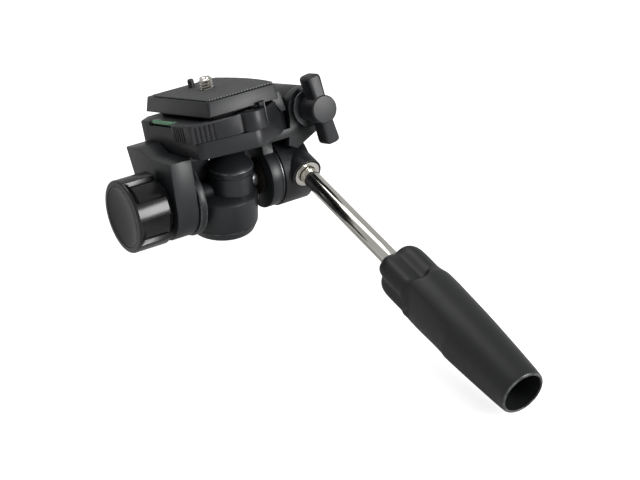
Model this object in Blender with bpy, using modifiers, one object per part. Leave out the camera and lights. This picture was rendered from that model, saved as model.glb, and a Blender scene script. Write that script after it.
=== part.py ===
"""Three-way photo tripod head: pan base, tilting yoke with handle, and side-tilting quick-release platform.

Metres, +Z up. The origin is the centre of the base's underside, on the pan axis. X is the tilt axis
and -Y is the side that the handle points to. It stands as photographed: the yoke leans back by
TILT_ANGLE about X, so pieces of the yoke and the platform are laid out in the tilt frame, whose z
is square to the platform.
"""
import math

import bmesh
import bpy
from mathutils import Matrix, Vector

# Clearances and shared values
SEAT_GAP = 0.0003            # between pieces that touch
RUN_GAP = 0.00006            # radial, between a shaft and its bearing
SWEEP_GAP = 0.0006           # beside pieces that turn past each other
CUT_OVER = 0.002             # how far a cutter runs past a wall
EDGE_BREAK = 0.0005          # small bevel on cast and moulded edges
MERGE = 0.000001             # points closer than this are one
SIDES = 36                   # facets round a large piece
SMALL_SIDES = 16             # facets round a small one

# Overall layout
TILT_HEIGHT = 0.02035        # tilt axis above the base's underside
TILT_ANGLE = math.radians(20.2)
HANDLE_X = 0.0347            # handle axis along the tilt axis
HANDLE_RISE = 0.007          # handle axis above the tilt axis
HANDLE_DROOP = math.radians(29.7)   # handle below the platform's plane
HINGE_X = 0.042              # side-tilt axis in the tilt frame
HINGE_Z = 0.027

# Fixed base
BASE_R = 0.0161
BASE_FOOT_R = 0.0145
BASE_H = 0.004
HUB_R = 0.009
HUB_H = 0.0115
SPINDLE_R = 0.0039
SPINDLE_TOP = 0.0241
SPINDLE_THREAD_R = 0.0029
SPINDLE_END = 0.0302
INSERT_R = 0.006
INSERT_BORE_R = 0.0042       # 3/8 inch thread, taken at its crest
INSERT_H = 0.0098
WASHER_R = 0.0049
WASHER_T = 0.0008
SPRING_WASHER_RISE = 0.0007
NUT_R = 0.0045
NUT_T = 0.003

# Panning trunk
CUP_R = 0.0161
CUP_H = 0.0187
CUP_EDGE = 0.0008
SHOULDER_R = 0.0125
SHOULDER_Z = 0.0202
NECK_X = 0.0032
NECK_Y = -0.0021
NECK_R = 0.0103
NECK_TOP = 0.0288
NECK_CAP_R = 0.0105
NECK_CAP_TOP = 0.0319
NECK_CAP_WELL_R = 0.0086
DOME_TOP = 0.0367
# Shoulder of the dome: share of its radius, share of its height above the lip.
DOME_SHARES = ((0.9, 0.26), (0.57, 0.7), (0.29, 0.92))
WALL_HALF_X = 0.0144         # bearing wall behind the neck
WALL_FRONT = 0.0036
WALL_BACK = 0.0069
WALL_TOP = 0.036
CHAMBER_R = 0.0052
CAP_ROOF = 0.0013
TRUNNION_R = 0.0045
TRUNNION_END_X = -0.0345
SCREW_BORE_R = 0.0033
AXLE_ROOT_X = 0.0056
AXLE_STEP_X = 0.0244
AXLE_END_X = 0.0388
AXLE_THIN_R = 0.0039
AXLE_TAP_R = 0.0022
AXLE_TAP_DEPTH = 0.009
AXLE_SCREW_HEAD_R = 0.0062
AXLE_SCREW_HEAD_T = 0.0016
DISC_R = 0.0174
DISC_IN_X = -0.0175
DISC_OUT_X = -0.021
THRUST_R = 0.0085
THRUST_IN_X = 0.0163
THRUST_OUT_X = 0.01805
RING_NUT_R = 0.012

# Pan knob, its screw and the brake pad
KNOB_R = 0.0168
KNOB_RECESS_R = 0.0149
KNOB_LOBES = 5
KNOB_LOBE_SHARE = 0.43       # of each lobe's pitch that stands proud
KNOB_LOBE_ANGLE = math.radians(240)
KNOB_RIM_L = 0.0011          # full round rim at the outer end
KNOB_RAMP_L = 0.0027         # slope from the rim down to the recesses
KNOB_IN_X = -0.0351
KNOB_OUT_X = -0.05125
KNOB_BEVEL = 0.0009
CAP_R = 0.0139
CAP_T = 0.0014
CAP_WELL = 0.0026
CAP_DISH = 0.0009
CAP_RIM_SHARE = 0.94         # of the cap's radius, where its flat rim ends
CAP_BOWL_SHARE = 0.6
CAP_BOWL_DEPTH_SHARE = 0.7
SCREW_R = 0.003
SCREW_HEAD_R = 0.0052
SCREW_HEAD_T = 0.0032
PAD_R = 0.0029
PAD_T = 0.003
PAD_FREE = 0.0003            # travel of the pad before it bears on the spindle

# Yoke
ARM_IN_X = -0.0213
ARM_OUT_X = -0.0321
LUG_R = 0.0165
BRIDGE_LOW = 0.0178
BRIDGE_TOP = 0.0202
BRIDGE_FRONT = -0.0155
BRIDGE_BACK = 0.0145
SADDLE_END = math.radians(40)    # how far the bridge's hollow reaches down behind
SADDLE_LIP = 0.001
RIGHT_IN_X = 0.01835
RIGHT_OUT_X = 0.0234
RIGHT_R = 0.0153
RIGHT_NECK_W = 0.022
HOOD_LOW = 0.0164
HOOD_END_X = 0.0312
EAR_R = 0.010
EAR_FRONT = -0.017
EAR_T = 0.006
REAR_EAR_BACK = 0.0145
SKIRT_T = 0.0037
ARM_TOE_Y = -0.0188          # front of the left arm at its top
ARM_TIP_Y = 0.0235
ARM_TIP_TOP = 0.0257
ARM_TIP_LOW = 0.0121
ARM_NOTCH_Y = 0.0064
ARM_CREASE_Z = 0.0217
ARM_STEP_Z = 0.0202          # the arm's inner face steps out above this
ARM_STEP_X = -0.0219

# Handle boss and its clamp
RING_T = 0.0008
BOSS_R = 0.016
BOSS_OUT_X = 0.0394
BOSS_CLAMP_SLOT = 0.0015
SOCKET_R = 0.0074
SOCKET_END = 0.0177
SOCKET_BACK = -0.005
FERRULE_R = 0.0064
FERRULE_T = 0.0018
FERRULE_PROUD = 0.0004
BOSS_SCREW_R = 0.0015
BOSS_SCREW_HEAD_R = 0.0028
BOSS_SCREW_HEAD_T = 0.0016
BOSS_SCREW_END_X = 0.0296
BOSS_SCREW_CIRCLE_R = 0.0106
BOSS_SCREW_ANGLES = (math.radians(25), math.radians(-62))

# Handle
ROD_R = 0.004
ROD_START = 0.0075
ROD_THREAD_R = 0.0025
ROD_THREAD_START = -0.0095
GRIP_START = 0.0885
GRIP_END = 0.1803
GRIP_R = 0.01345
GRIP_LOBES = 4
GRIP_LOBE_ANGLE = math.radians(149)
GRIP_FLUTE_DEPTH = 0.0034
GRIP_FLUTE_END = 0.1105
GRIP_FLUTE_FADE = 0.0035
GRIP_SCOOP_DEPTH = 0.003
GRIP_SCOOP_END = 0.141
GRIP_SCOOP_ANGLE = math.radians(186)
GRIP_SCOOP_HALF_ANGLE = math.radians(50)
GRIP_BORE_R = 0.0089
GRIP_BORE_START = 0.135
GRIP_WELL_R = 0.0063
GRIP_WELL_START = 0.097
GRIP_INSERT_R = 0.006
GRIP_INSERT_L = 0.0118
GRIP_NUT_T = 0.0045
ROD_END = 0.115
GRIP_SIDES = 52
# Stations down the grip: share of its length, share of its largest radius.
GRIP_PROFILE_SHARES = (
    (0.0, 0.50), (0.012, 0.70), (0.035, 0.85), (0.075, 0.925), (0.13, 0.935), (0.20, 0.93), (0.235, 0.95),
    (0.27, 0.998), (0.34, 1.0), (0.44, 0.98), (0.54, 0.96), (0.60, 0.945), (0.75, 0.89), (0.90, 0.825),
    (0.985, 0.775), (1.0, 0.735),
)

# Side-tilt hinge
BOLT_R = 0.003
BOLT_HEAD_R = 0.0055
BOLT_HEAD_T = 0.0037
BOLT_END = 0.029             # towards the front from the tilt axis' plane
HINGE_WASHER_R = 0.0086
HINGE_WASHER_T = 0.002
WING_NECK_R = 0.006
WING_NECK_L = 0.0036
WING_HUB_R = 0.0064
WING_HUB_END = 0.0325
WING_W = 0.0060
WING_TIP_W = 0.0070
WING_SPAN_R = 0.0163
WING_LEAN = math.radians(7.5)
WING_INSERT_R = 0.0046
WING_INSERT_L = 0.008
WING_BEVEL = 0.0012

# Platform base, in the tilt frame
SLAB_LOW = 0.0205
SLAB_TOP = 0.0272
DECK_TOP = 0.035
PEDESTAL_TOP = 0.0367
PLAT_LEFT = -0.0212
PLAT_FRONT_LEFT_Y = -0.0278
PLAT_NOSE_X = 0.0064
PLAT_NOSE_Y = -0.0363
PLAT_RIGHT = 0.0305
PLAT_RIGHT_FRONT_Y = -0.0154
PLAT_BACK = 0.0317
PLAT_BACK_CUT = 0.006
PEDESTAL_SET = 0.00345       # pedestal's back edge, inside the slab's
PLAT_FILLET = 0.0007
PLAT_CORNER = 0.003          # where the rounding of the two front corners starts
LIP_LOW = 0.0196             # the slab's underside stands lower along its front
LIP_BACK = -0.0194
KNUCKLE_GAP = 0.0003
JAW_W = 0.0036
JAW_TOP = 0.0385
JAW_FRONT = -0.0175
JAW_BACK = 0.024
FIN_LOW = 0.0296
FIN_PROUD = 0.0035
FIN_INSIDE = 0.0018           # the fin's upper corner, inside the jaw's face
FIN_FOOT_IN = 0.0026
FIN_FOOT_OUT = 0.0049
STOP_W = 0.0017
STOP_TONGUE = 0.0021
STOP_D = 0.0022
STOP_TOP = 0.0382

# Level
VIAL_R = 0.0012
VIAL_WALL = 0.0003
VIAL_L = 0.0245
VIAL_X = -0.0193
VIAL_Z = 0.0345
VIAL_FRONT = -0.0092
LEVEL_PLUG_T = 0.0012

# Clamp lever
PIVOT_X = 0.0058
PIVOT_Y = -0.0305
DRUM_R = 0.0064
LEVER_LOW = 0.0275
LEVER_TOP = 0.0357
LEVER_T = 0.0046
LEVER_PROUD = 0.0022
LEVER_TAB_BACK = -0.0095
LEVER_CORNER = 0.0005
LEVER_STEP = 0.0019          # from the end of the leg's face to the drum
LEVER_RIB_PITCH = 0.0021
LEVER_RIB_W = 0.001
LEVER_RIB_DEPTH = 0.0006
LEVER_RIB_START = 0.0016     # from the corner to the first front groove
LEVER_FRONT_RIBS = 5
LEVER_SIDE_RIBS = 5
PIN_R = 0.0015
PIN_HEAD_R = 0.0028
PIN_HEAD_T = 0.0007
PIN_LOW = 0.0215
TORSION_R = 0.0034
TORSION_L = 0.004
LEVER_SWEEP = 0.0004

# Quick-release plate and what it carries
PLATE_LOW = 0.037
PLATE_TOP = 0.0437
PLATE_CX = 0.004
PLATE_FRONT_Y = -0.0291       # the plate's front edge, at the platform's stop
PLATE_LOW_W = 0.0361
PLATE_LOW_L = 0.063
PLATE_CY = PLATE_FRONT_Y + PLATE_LOW_L / 2
PLATE_TOP_W = 0.0331
PLATE_TOP_L = 0.0607
PLATE_BULGE = 0.0011
PLATE_TOP_BULGE = 0.0025      # bow of the top's and the rubber's +X edge
PLATE_TOP_EXTRA = 0.0016      # how much farther than its -X edge the top's +X edge stands
PLATE_CORNER = 0.0009
RUBBER_TOP = 0.0446
RUBBER_W = 0.0322
RUBBER_L = 0.0554
RUBBER_SET = 0.0022          # the rubber's middle, ahead of the plate's
CAMERA_SCREW_R = 0.003175    # 1/4 inch thread
CAMERA_SCREW_TOP = 0.0502
CAMERA_SCREW_Y = 0.003
CAMERA_HEAD_R = 0.0074
CAMERA_HEAD_T = 0.0026
CAMERA_WELL_T = 0.0034
VIDEO_PIN_R = 0.0015
VIDEO_PIN_TOP = 0.0486
VIDEO_PIN_Y = 0.018
VIDEO_FLANGE_R = 0.0025
VIDEO_FLANGE_T = 0.0009
VIDEO_WELL_R = 0.0029
VIDEO_WELL_T = 0.0046
PIN_SPRING_WALL = 0.0006


# Frames
def turn(angle, axis):
    """Rotation matrix about one of the local axes."""
    return Matrix.Rotation(angle, 4, axis)


def shift(x, y, z):
    """Translation matrix."""
    return Matrix.Translation((x, y, z))


QUARTER = math.radians(90)
PAN = Matrix.Identity(4)
TILT = shift(0, 0, TILT_HEIGHT) @ turn(-TILT_ANGLE, "X")
AXLE = shift(0, 0, TILT_HEIGHT) @ turn(QUARTER, "Y")       # local z runs along +X
TILT_AXLE = TILT @ turn(QUARTER, "Y")
SIDEWAYS = TILT @ Matrix(((0, 0, 1, 0), (1, 0, 0, 0), (0, 1, 0, 0), (0, 0, 0, 1)))
FRONTWAYS = TILT @ turn(QUARTER, "X")                       # local x, y, z are x, z and -y of the tilt frame
HINGE = TILT @ shift(HINGE_X, 0, HINGE_Z) @ turn(QUARTER, "X")
HANDLE_ROOT = shift(HANDLE_X, 0, TILT_HEIGHT + HANDLE_RISE)
HANDLE = HANDLE_ROOT @ turn(QUARTER + HANDLE_DROOP - TILT_ANGLE, "X")   # local z runs down the handle
LEVER = TILT @ shift(PIVOT_X, PIVOT_Y, 0)
CAMERA = TILT @ shift(PLATE_CX, CAMERA_SCREW_Y, 0)
VIDEO = TILT @ shift(PLATE_CX, VIDEO_PIN_Y, 0)


class Joint:
    """An empty on a joint's axis, which carries the pieces that move about it."""

    def __init__(self, name, matrix, parent=None):
        self.matrix = matrix
        self.empty = bpy.data.objects.new(name, None)
        parts.objects.link(self.empty)
        if parent:
            self.empty.parent = parent.empty
            self.empty.matrix_basis = parent.matrix.inverted() @ matrix
        else:
            self.empty.matrix_basis = matrix

    def carry(self, piece, frame):
        """Parent a piece to the joint and stand it in the given frame."""
        piece.parent = self.empty
        piece.matrix_basis = self.matrix.inverted() @ frame


# Shapes
def add_mesh(name, bm, smooth=True):
    """Turn a bmesh into an object that is in no collection yet."""
    bmesh.ops.recalc_face_normals(bm, faces=bm.faces)
    mesh = bpy.data.meshes.new(name)
    bm.to_mesh(mesh)
    bm.free()
    if smooth:
        mesh.shade_smooth()
        mesh.set_sharp_from_angle(angle=math.radians(35))
    return bpy.data.objects.new(name, mesh)


def cylinder(name, radius, low, high, sides=SMALL_SIDES, end_radius=None):
    """Round bar along local z."""
    bm = bmesh.new()
    bmesh.ops.create_cone(
        bm, cap_ends=True, segments=sides, radius1=radius,
        radius2=radius if end_radius is None else end_radius, depth=high - low)
    bmesh.ops.translate(bm, verts=bm.verts, vec=(0, 0, (low + high) / 2))
    return add_mesh(name, bm)


def box(name, low, high):
    """Block between two corners."""
    bm = bmesh.new()
    bmesh.ops.create_cube(bm, size=1)
    size = [b - a for a, b in zip(low, high)]
    middle = [(a + b) / 2 for a, b in zip(low, high)]
    bmesh.ops.scale(bm, vec=size, verts=bm.verts)
    bmesh.ops.translate(bm, vec=middle, verts=bm.verts)
    return add_mesh(name, bm, smooth=False)


def turned(name, profile, sides=SIDES):
    """Turned solid from (radius, height) points; a profile that leaves the axis open is closed as a ring."""
    ring = profile[0][0] > 0
    area = sum(a[0] * b[1] - b[0] * a[1] for a, b in zip(profile, profile[1:] + profile[:1]))
    points = list(profile) if area < 0 else list(reversed(profile))
    edges = [(i, i + 1) for i in range(len(points) - 1)]
    if ring:
        edges.append((len(points) - 1, 0))
    mesh = bpy.data.meshes.new(name)
    mesh.from_pydata([(r, 0, z) for r, z in points], edges, [])
    piece = bpy.data.objects.new(name, mesh)
    screw = piece.modifiers.new("turn", "SCREW")
    screw.axis = "Z"
    screw.steps = screw.render_steps = sides
    screw.use_merge_vertices = True
    screw.merge_threshold = MERGE
    screw.use_smooth_shade = True
    return piece


def ring(name, inner, outer, low, high, sides=SIDES):
    """Plain ring or tube along local z."""
    return turned(name, [(inner, low), (outer, low), (outer, high), (inner, high)], sides)


def prism(name, outline, low, high):
    """Flat outline in local x and y, thick from low to high along local z."""
    curve = bpy.data.curves.new(name, "CURVE")
    curve.dimensions = "2D"
    curve.fill_mode = "BOTH"
    curve.extrude = (high - low) / 2
    spline = curve.splines.new("POLY")
    spline.points.add(len(outline) - 1)
    for point, (x, y) in zip(spline.points, outline):
        point.co = (x, y, 0, 1)
    spline.use_cyclic_u = True
    flat = bpy.data.objects.new(name, curve)
    parts.objects.link(flat)
    bpy.context.view_layer.update()
    mesh = bpy.data.meshes.new_from_object(flat.evaluated_get(bpy.context.evaluated_depsgraph_get()))
    bm = bmesh.new()
    bm.from_mesh(mesh)
    bmesh.ops.remove_doubles(bm, verts=bm.verts, dist=MERGE)
    bmesh.ops.dissolve_limit(bm, angle_limit=math.radians(1), verts=bm.verts, edges=bm.edges)
    bmesh.ops.translate(bm, verts=bm.verts, vec=(0, 0, (low + high) / 2))
    bpy.data.objects.remove(flat)
    bpy.data.meshes.remove(mesh)
    return add_mesh(name, bm, smooth=False)


def arc(centre, radius, start, end, count):
    """Points along an arc, both ends included; angles in radians."""
    steps = [start + (end - start) * i / (count - 1) for i in range(count)]
    return [(centre[0] + radius * math.cos(a), centre[1] + radius * math.sin(a)) for a in steps]


def hexagon(radius):
    """Corners of a hexagon of the given corner radius."""
    return arc((0, 0), radius, 0, math.radians(300), 6)


def bevel(piece, width, segments=2):
    """Round the piece's sharp edges."""
    rounding = piece.modifiers.new("edges", "BEVEL")
    rounding.width = width
    rounding.segments = segments
    rounding.limit_method = "ANGLE"
    rounding.angle_limit = math.radians(40)
    return piece


def combine(piece, other, frame, operation):
    """Boolean with another solid, which is kept out of sight as a tool."""
    tools.objects.link(other)
    other.matrix_basis = frame
    other.hide_render = True
    other.display_type = "WIRE"
    cut = piece.modifiers.new(other.name, "BOOLEAN")
    cut.operation = operation
    cut.object = other
    cut.solver = "EXACT"


def cut(piece, other, frame):
    """Take the other solid out of the piece."""
    combine(piece, other, frame, "DIFFERENCE")


def join(piece, other, frame):
    """Fuse the other solid to the piece."""
    combine(piece, other, frame, "UNION")


def place(piece, joint, frame, material):
    """Put a finished piece on its joint with its material."""
    parts.objects.link(piece)
    joint.carry(piece, frame)
    piece.data.materials.append(material)
    return piece


def surface(name, colour, roughness, metallic):
    """Principled material from a linear grey or colour."""
    material = bpy.data.materials.new(name)
    material.use_nodes = True
    shader = material.node_tree.nodes["Principled BSDF"]
    shader.inputs["Base Color"].default_value = (*colour, 1)
    shader.inputs["Roughness"].default_value = roughness
    shader.inputs["Metallic"].default_value = metallic
    return material


# Materials
def black_plastic():
    """Fine-grained black ABS of the castings' covers, knobs and platform."""
    return surface("black_plastic", (0.028, 0.029, 0.031), 0.45, 0)


def gloss_plastic():
    """Smoother black plastic of the pan knob."""
    return surface("gloss_plastic", (0.02, 0.02, 0.022), 0.25, 0)


def black_alloy():
    """Black painted die-cast alloy."""
    return surface("black_alloy", (0.03, 0.031, 0.034), 0.4, 0.2)


def grip_rubber():
    """Soft matt grip."""
    return surface("grip_rubber", (0.018, 0.018, 0.019), 0.7, 0)


def steel():
    """Zinc-plated steel of hidden hardware."""
    return surface("steel", (0.55, 0.55, 0.56), 0.35, 1)


def chrome():
    """Bright plated rod and camera screw."""
    return surface("chrome", (0.75, 0.74, 0.72), 0.12, 1)


def brass():
    """Threaded inserts."""
    return surface("brass", (0.6, 0.42, 0.16), 0.35, 1)


def friction_fibre():
    """Brake pad and thrust washer."""
    return surface("friction_fibre", (0.09, 0.085, 0.08), 0.8, 0)


def pad_rubber():
    """Knurled black rubber under the camera."""
    return surface("pad_rubber", (0.015, 0.015, 0.015), 0.85, 0)


def vial_acrylic():
    """Clear acrylic of the level."""
    return surface("vial_acrylic", (0.7, 0.85, 0.75), 0.1, 0)


def level_green():
    """Green liquid of the level."""
    return surface("level_green", (0.05, 0.35, 0.14), 0.2, 0)


# Fixed base
def make_base(joint):
    """Base flange with its hub, spindle and threaded end; the insert sits in its underside."""
    flange = turned("base_flange", [
        (0, 0), (BASE_FOOT_R, 0), (BASE_R, BASE_H), (HUB_R, BASE_H), (HUB_R, HUB_H), (SPINDLE_R, HUB_H),
        (SPINDLE_R, SPINDLE_TOP), (SPINDLE_THREAD_R, SPINDLE_TOP), (SPINDLE_THREAD_R, SPINDLE_END), (0, SPINDLE_END)])
    well = cylinder("insert_well", INSERT_R + SEAT_GAP, -CUT_OVER, INSERT_H + SEAT_GAP, SMALL_SIDES)
    cut(flange, well, PAN)
    place(flange, joint, PAN, ALLOY)
    insert = ring("tripod_insert", INSERT_BORE_R, INSERT_R, 0, INSERT_H, SMALL_SIDES)
    place(insert, joint, PAN, BRASS)


def make_pan_stack(joint):
    """Washer, dished spring washer and hexagon nut that hold the trunk down on the spindle."""
    bore = SPINDLE_THREAD_R + SEAT_GAP
    low = SPINDLE_TOP + SEAT_GAP
    place(ring("pan_washer", bore, WASHER_R, low, low + WASHER_T, SMALL_SIDES), joint, PAN, STEEL)
    low += WASHER_T + SEAT_GAP
    dished = turned("pan_spring_washer", [
        (bore, low + SPRING_WASHER_RISE), (WASHER_R, low), (WASHER_R, low + WASHER_T / 2),
        (bore, low + SPRING_WASHER_RISE + WASHER_T / 2)], SMALL_SIDES)
    place(dished, joint, PAN, STEEL)
    low += SPRING_WASHER_RISE + WASHER_T / 2 + SEAT_GAP
    nut = prism("pan_nut", hexagon(NUT_R), low, low + NUT_T)
    cut(nut, cylinder("pan_nut_bore", bore, low - CUT_OVER, low + NUT_T + CUT_OVER), PAN)
    place(nut, joint, PAN, STEEL)


# Panning trunk
def make_trunk(joint):
    """Round trunk with offset neck, bearing wall and hollow left trunnion, bored for spindle, nut and axle."""
    low = BASE_H + SEAT_GAP
    trunk = turned("trunk", [
        (0, low), (CUP_R, low), (CUP_R, CUP_H - CUP_EDGE), (CUP_R - CUP_EDGE, CUP_H),
        (SHOULDER_R, SHOULDER_Z), (0, SHOULDER_Z)])
    join(trunk, cylinder("neck_tool", NECK_R, CUP_H / 2, NECK_TOP, SIDES), shift(NECK_X, NECK_Y, 0))
    join(trunk, cylinder("trunnion_tool", TRUNNION_R, TRUNNION_END_X, -SPINDLE_R, SMALL_SIDES), AXLE)
    join(trunk, box("bearing_wall_tool", (-WALL_HALF_X, WALL_FRONT, CUP_H - CUP_EDGE),
                    (WALL_HALF_X, WALL_BACK, WALL_TOP)), PAN)
    hub_bore = cylinder("hub_bore", HUB_R + SEAT_GAP, -CUT_OVER, HUB_H + SEAT_GAP, SIDES)
    cut(trunk, hub_bore, PAN)
    cut(trunk, cylinder("spindle_bore", SPINDLE_R + RUN_GAP, 0, NECK_TOP + CUT_OVER, SMALL_SIDES * 2), PAN)
    cut(trunk, cylinder("nut_chamber", CHAMBER_R, SPINDLE_TOP - SEAT_GAP, NECK_TOP + CUT_OVER), PAN)
    cut(trunk, cylinder("cap_room", NECK_CAP_R + SEAT_GAP, NECK_TOP, WALL_TOP + CUT_OVER, SIDES), shift(NECK_X, NECK_Y, 0))
    cut(trunk, cylinder("screw_bore", SCREW_BORE_R, TRUNNION_END_X - CUT_OVER, 0), AXLE)
    axle_end = CUP_R + CUT_OVER
    cut(trunk, cylinder("axle_bore", TRUNNION_R + SEAT_GAP, AXLE_ROOT_X - SEAT_GAP, axle_end), AXLE)
    place(trunk, joint, PAN, ALLOY)


def make_neck_cap(joint):
    """Domed cap over the pan nut."""
    low = NECK_TOP + SEAT_GAP
    roof = NECK_CAP_TOP - CAP_ROOF
    cap = turned("neck_cap", [
        (0, roof), (NECK_CAP_WELL_R, roof), (NECK_CAP_WELL_R, low), (NECK_CAP_R, low), (NECK_CAP_R, NECK_CAP_TOP)]
        + [(NECK_CAP_R * across, NECK_CAP_TOP + (DOME_TOP - NECK_CAP_TOP) * up) for across, up in DOME_SHARES]
        + [(0, DOME_TOP)])
    place(cap, joint, shift(NECK_X, NECK_Y, 0), ALLOY)


def make_tilt_bearings(joint):
    """Friction disc and ring nut of the left trunnion, right stub axle with its thrust washer and end screw."""
    bore = TRUNNION_R + SEAT_GAP
    disc = ring("friction_disc", bore, DISC_R, DISC_OUT_X, DISC_IN_X)
    place(disc, joint, AXLE, ALLOY)
    nut = ring("trunnion_nut", bore, RING_NUT_R, KNOB_IN_X + SEAT_GAP, ARM_OUT_X - SEAT_GAP)
    place(nut, joint, AXLE, ALLOY)
    washer = turned("thrust_washer", [
        (bore, THRUST_IN_X), (bore + WASHER_T, THRUST_IN_X), (THRUST_R, THRUST_OUT_X - WASHER_T),
        (THRUST_R, THRUST_OUT_X), (bore, THRUST_OUT_X)], SMALL_SIDES)
    place(washer, joint, AXLE, FIBRE)
    axle = turned("stub_axle", [
        (0, AXLE_ROOT_X), (TRUNNION_R, AXLE_ROOT_X), (TRUNNION_R, AXLE_STEP_X), (AXLE_THIN_R, AXLE_STEP_X),
        (AXLE_THIN_R, AXLE_END_X), (AXLE_TAP_R, AXLE_END_X), (AXLE_TAP_R, AXLE_END_X - AXLE_TAP_DEPTH),
        (0, AXLE_END_X - AXLE_TAP_DEPTH)], SMALL_SIDES * 2)
    place(axle, joint, AXLE, STEEL)
    head = BOSS_OUT_X + SEAT_GAP
    shank = AXLE_TAP_R - SEAT_GAP
    screw = turned("axle_screw", [
        (0, AXLE_END_X - AXLE_TAP_DEPTH + SEAT_GAP), (shank, AXLE_END_X - AXLE_TAP_DEPTH + SEAT_GAP), (shank, head),
        (AXLE_SCREW_HEAD_R, head), (AXLE_SCREW_HEAD_R, head + AXLE_SCREW_HEAD_T), (0, head + AXLE_SCREW_HEAD_T)],
        SMALL_SIDES)
    place(screw, joint, AXLE, STEEL)


# Pan lock
def lobe_outline(middle):
    """Sector of one lobe, with room inside and outside the knob's wall."""
    half = math.pi / KNOB_LOBES * KNOB_LOBE_SHARE
    inner = arc((0, 0), KNOB_RECESS_R - CUT_OVER, middle - half, middle + half, 4)
    return inner + arc((0, 0), KNOB_R + CUT_OVER * 2, middle + half, middle - half, 4)


def recess_tool():
    """Ring that leaves the recesses' floor and slope, broken where the lobes stand."""
    outside = KNOB_R + CUT_OVER
    ramp_foot = KNOB_OUT_X + KNOB_RIM_L + KNOB_RAMP_L
    slope = KNOB_RAMP_L / (KNOB_R - KNOB_RECESS_R)
    tool = turned("knob_recess", [
        (KNOB_RECESS_R, ramp_foot), (outside, ramp_foot - slope * (outside - KNOB_RECESS_R)),
        (outside, KNOB_IN_X + CUT_OVER), (KNOB_RECESS_R, KNOB_IN_X + CUT_OVER)])
    for index in range(KNOB_LOBES):
        middle = KNOB_LOBE_ANGLE + index * math.tau / KNOB_LOBES
        low = KNOB_OUT_X - CUT_OVER * 2
        lobe = prism("knob_lobe_%d" % index, lobe_outline(middle), low, KNOB_IN_X + CUT_OVER * 2)
        cut(tool, lobe, AXLE)
    return tool


def make_pan_knob(joint):
    """Lobed knob shell, dished end cap and the long brake screw."""
    knob = bevel(cylinder("pan_knob", KNOB_R, KNOB_OUT_X, KNOB_IN_X, SIDES), KNOB_BEVEL)
    cut(knob, recess_tool(), AXLE)
    floor = KNOB_OUT_X + CAP_WELL
    cut(knob, cylinder("cap_well", CAP_R + SEAT_GAP, KNOB_OUT_X - CUT_OVER, floor, SIDES), AXLE)
    head_floor = floor + SCREW_HEAD_T + SEAT_GAP * 2
    cut(knob, cylinder("head_well", SCREW_HEAD_R + SEAT_GAP, KNOB_OUT_X, head_floor), AXLE)
    cut(knob, cylinder("knob_bore", SCREW_R + SEAT_GAP, KNOB_OUT_X, KNOB_IN_X + CUT_OVER), AXLE)
    place(knob, joint, AXLE, GLOSS)
    back = floor - SEAT_GAP
    front = back - CAP_T
    cap = turned("pan_knob_cap", [
        (0, back), (CAP_R, back), (CAP_R, front), (CAP_R * CAP_RIM_SHARE, front),
        (CAP_R * CAP_BOWL_SHARE, front + CAP_DISH * CAP_BOWL_DEPTH_SHARE), (0, front + CAP_DISH)])
    place(cap, joint, AXLE, GLOSS)
    tip = -SPINDLE_R - PAD_FREE - PAD_T - SEAT_GAP
    screw = turned("pan_knob_screw", [
        (0, floor + SEAT_GAP), (SCREW_HEAD_R, floor + SEAT_GAP), (SCREW_HEAD_R, floor + SEAT_GAP + SCREW_HEAD_T),
        (SCREW_R, floor + SEAT_GAP + SCREW_HEAD_T), (SCREW_R, tip), (0, tip)], SMALL_SIDES)
    place(screw, joint, AXLE, STEEL)


def make_brake_pad(joint):
    """Pad between the brake screw's tip and the spindle."""
    back = -SPINDLE_R - PAD_FREE - PAD_T
    place(cylinder("brake_pad", PAD_R, back, back + PAD_T), joint, AXLE, FIBRE)


# Tilting yoke
def left_arm_outline():
    """Outline of the left arm in y and z of the tilt frame: lug below, flag above."""
    lug = arc((0, 0), LUG_R, math.radians(66), math.radians(-180), 20)
    front_top = (ARM_TOE_Y, BRIDGE_TOP)
    front_low = (-LUG_R, 0)
    crease = (ARM_NOTCH_Y * 0.14, ARM_CREASE_Z)
    ridge = (ARM_NOTCH_Y * 1.4, ARM_TIP_TOP)
    return ([(ARM_TIP_Y, ARM_TIP_TOP), (ARM_TIP_Y - ARM_NOTCH_Y * 0.45, ARM_TIP_LOW)] + lug[:-1]
            + [front_low, front_top, crease, ridge])


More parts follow.
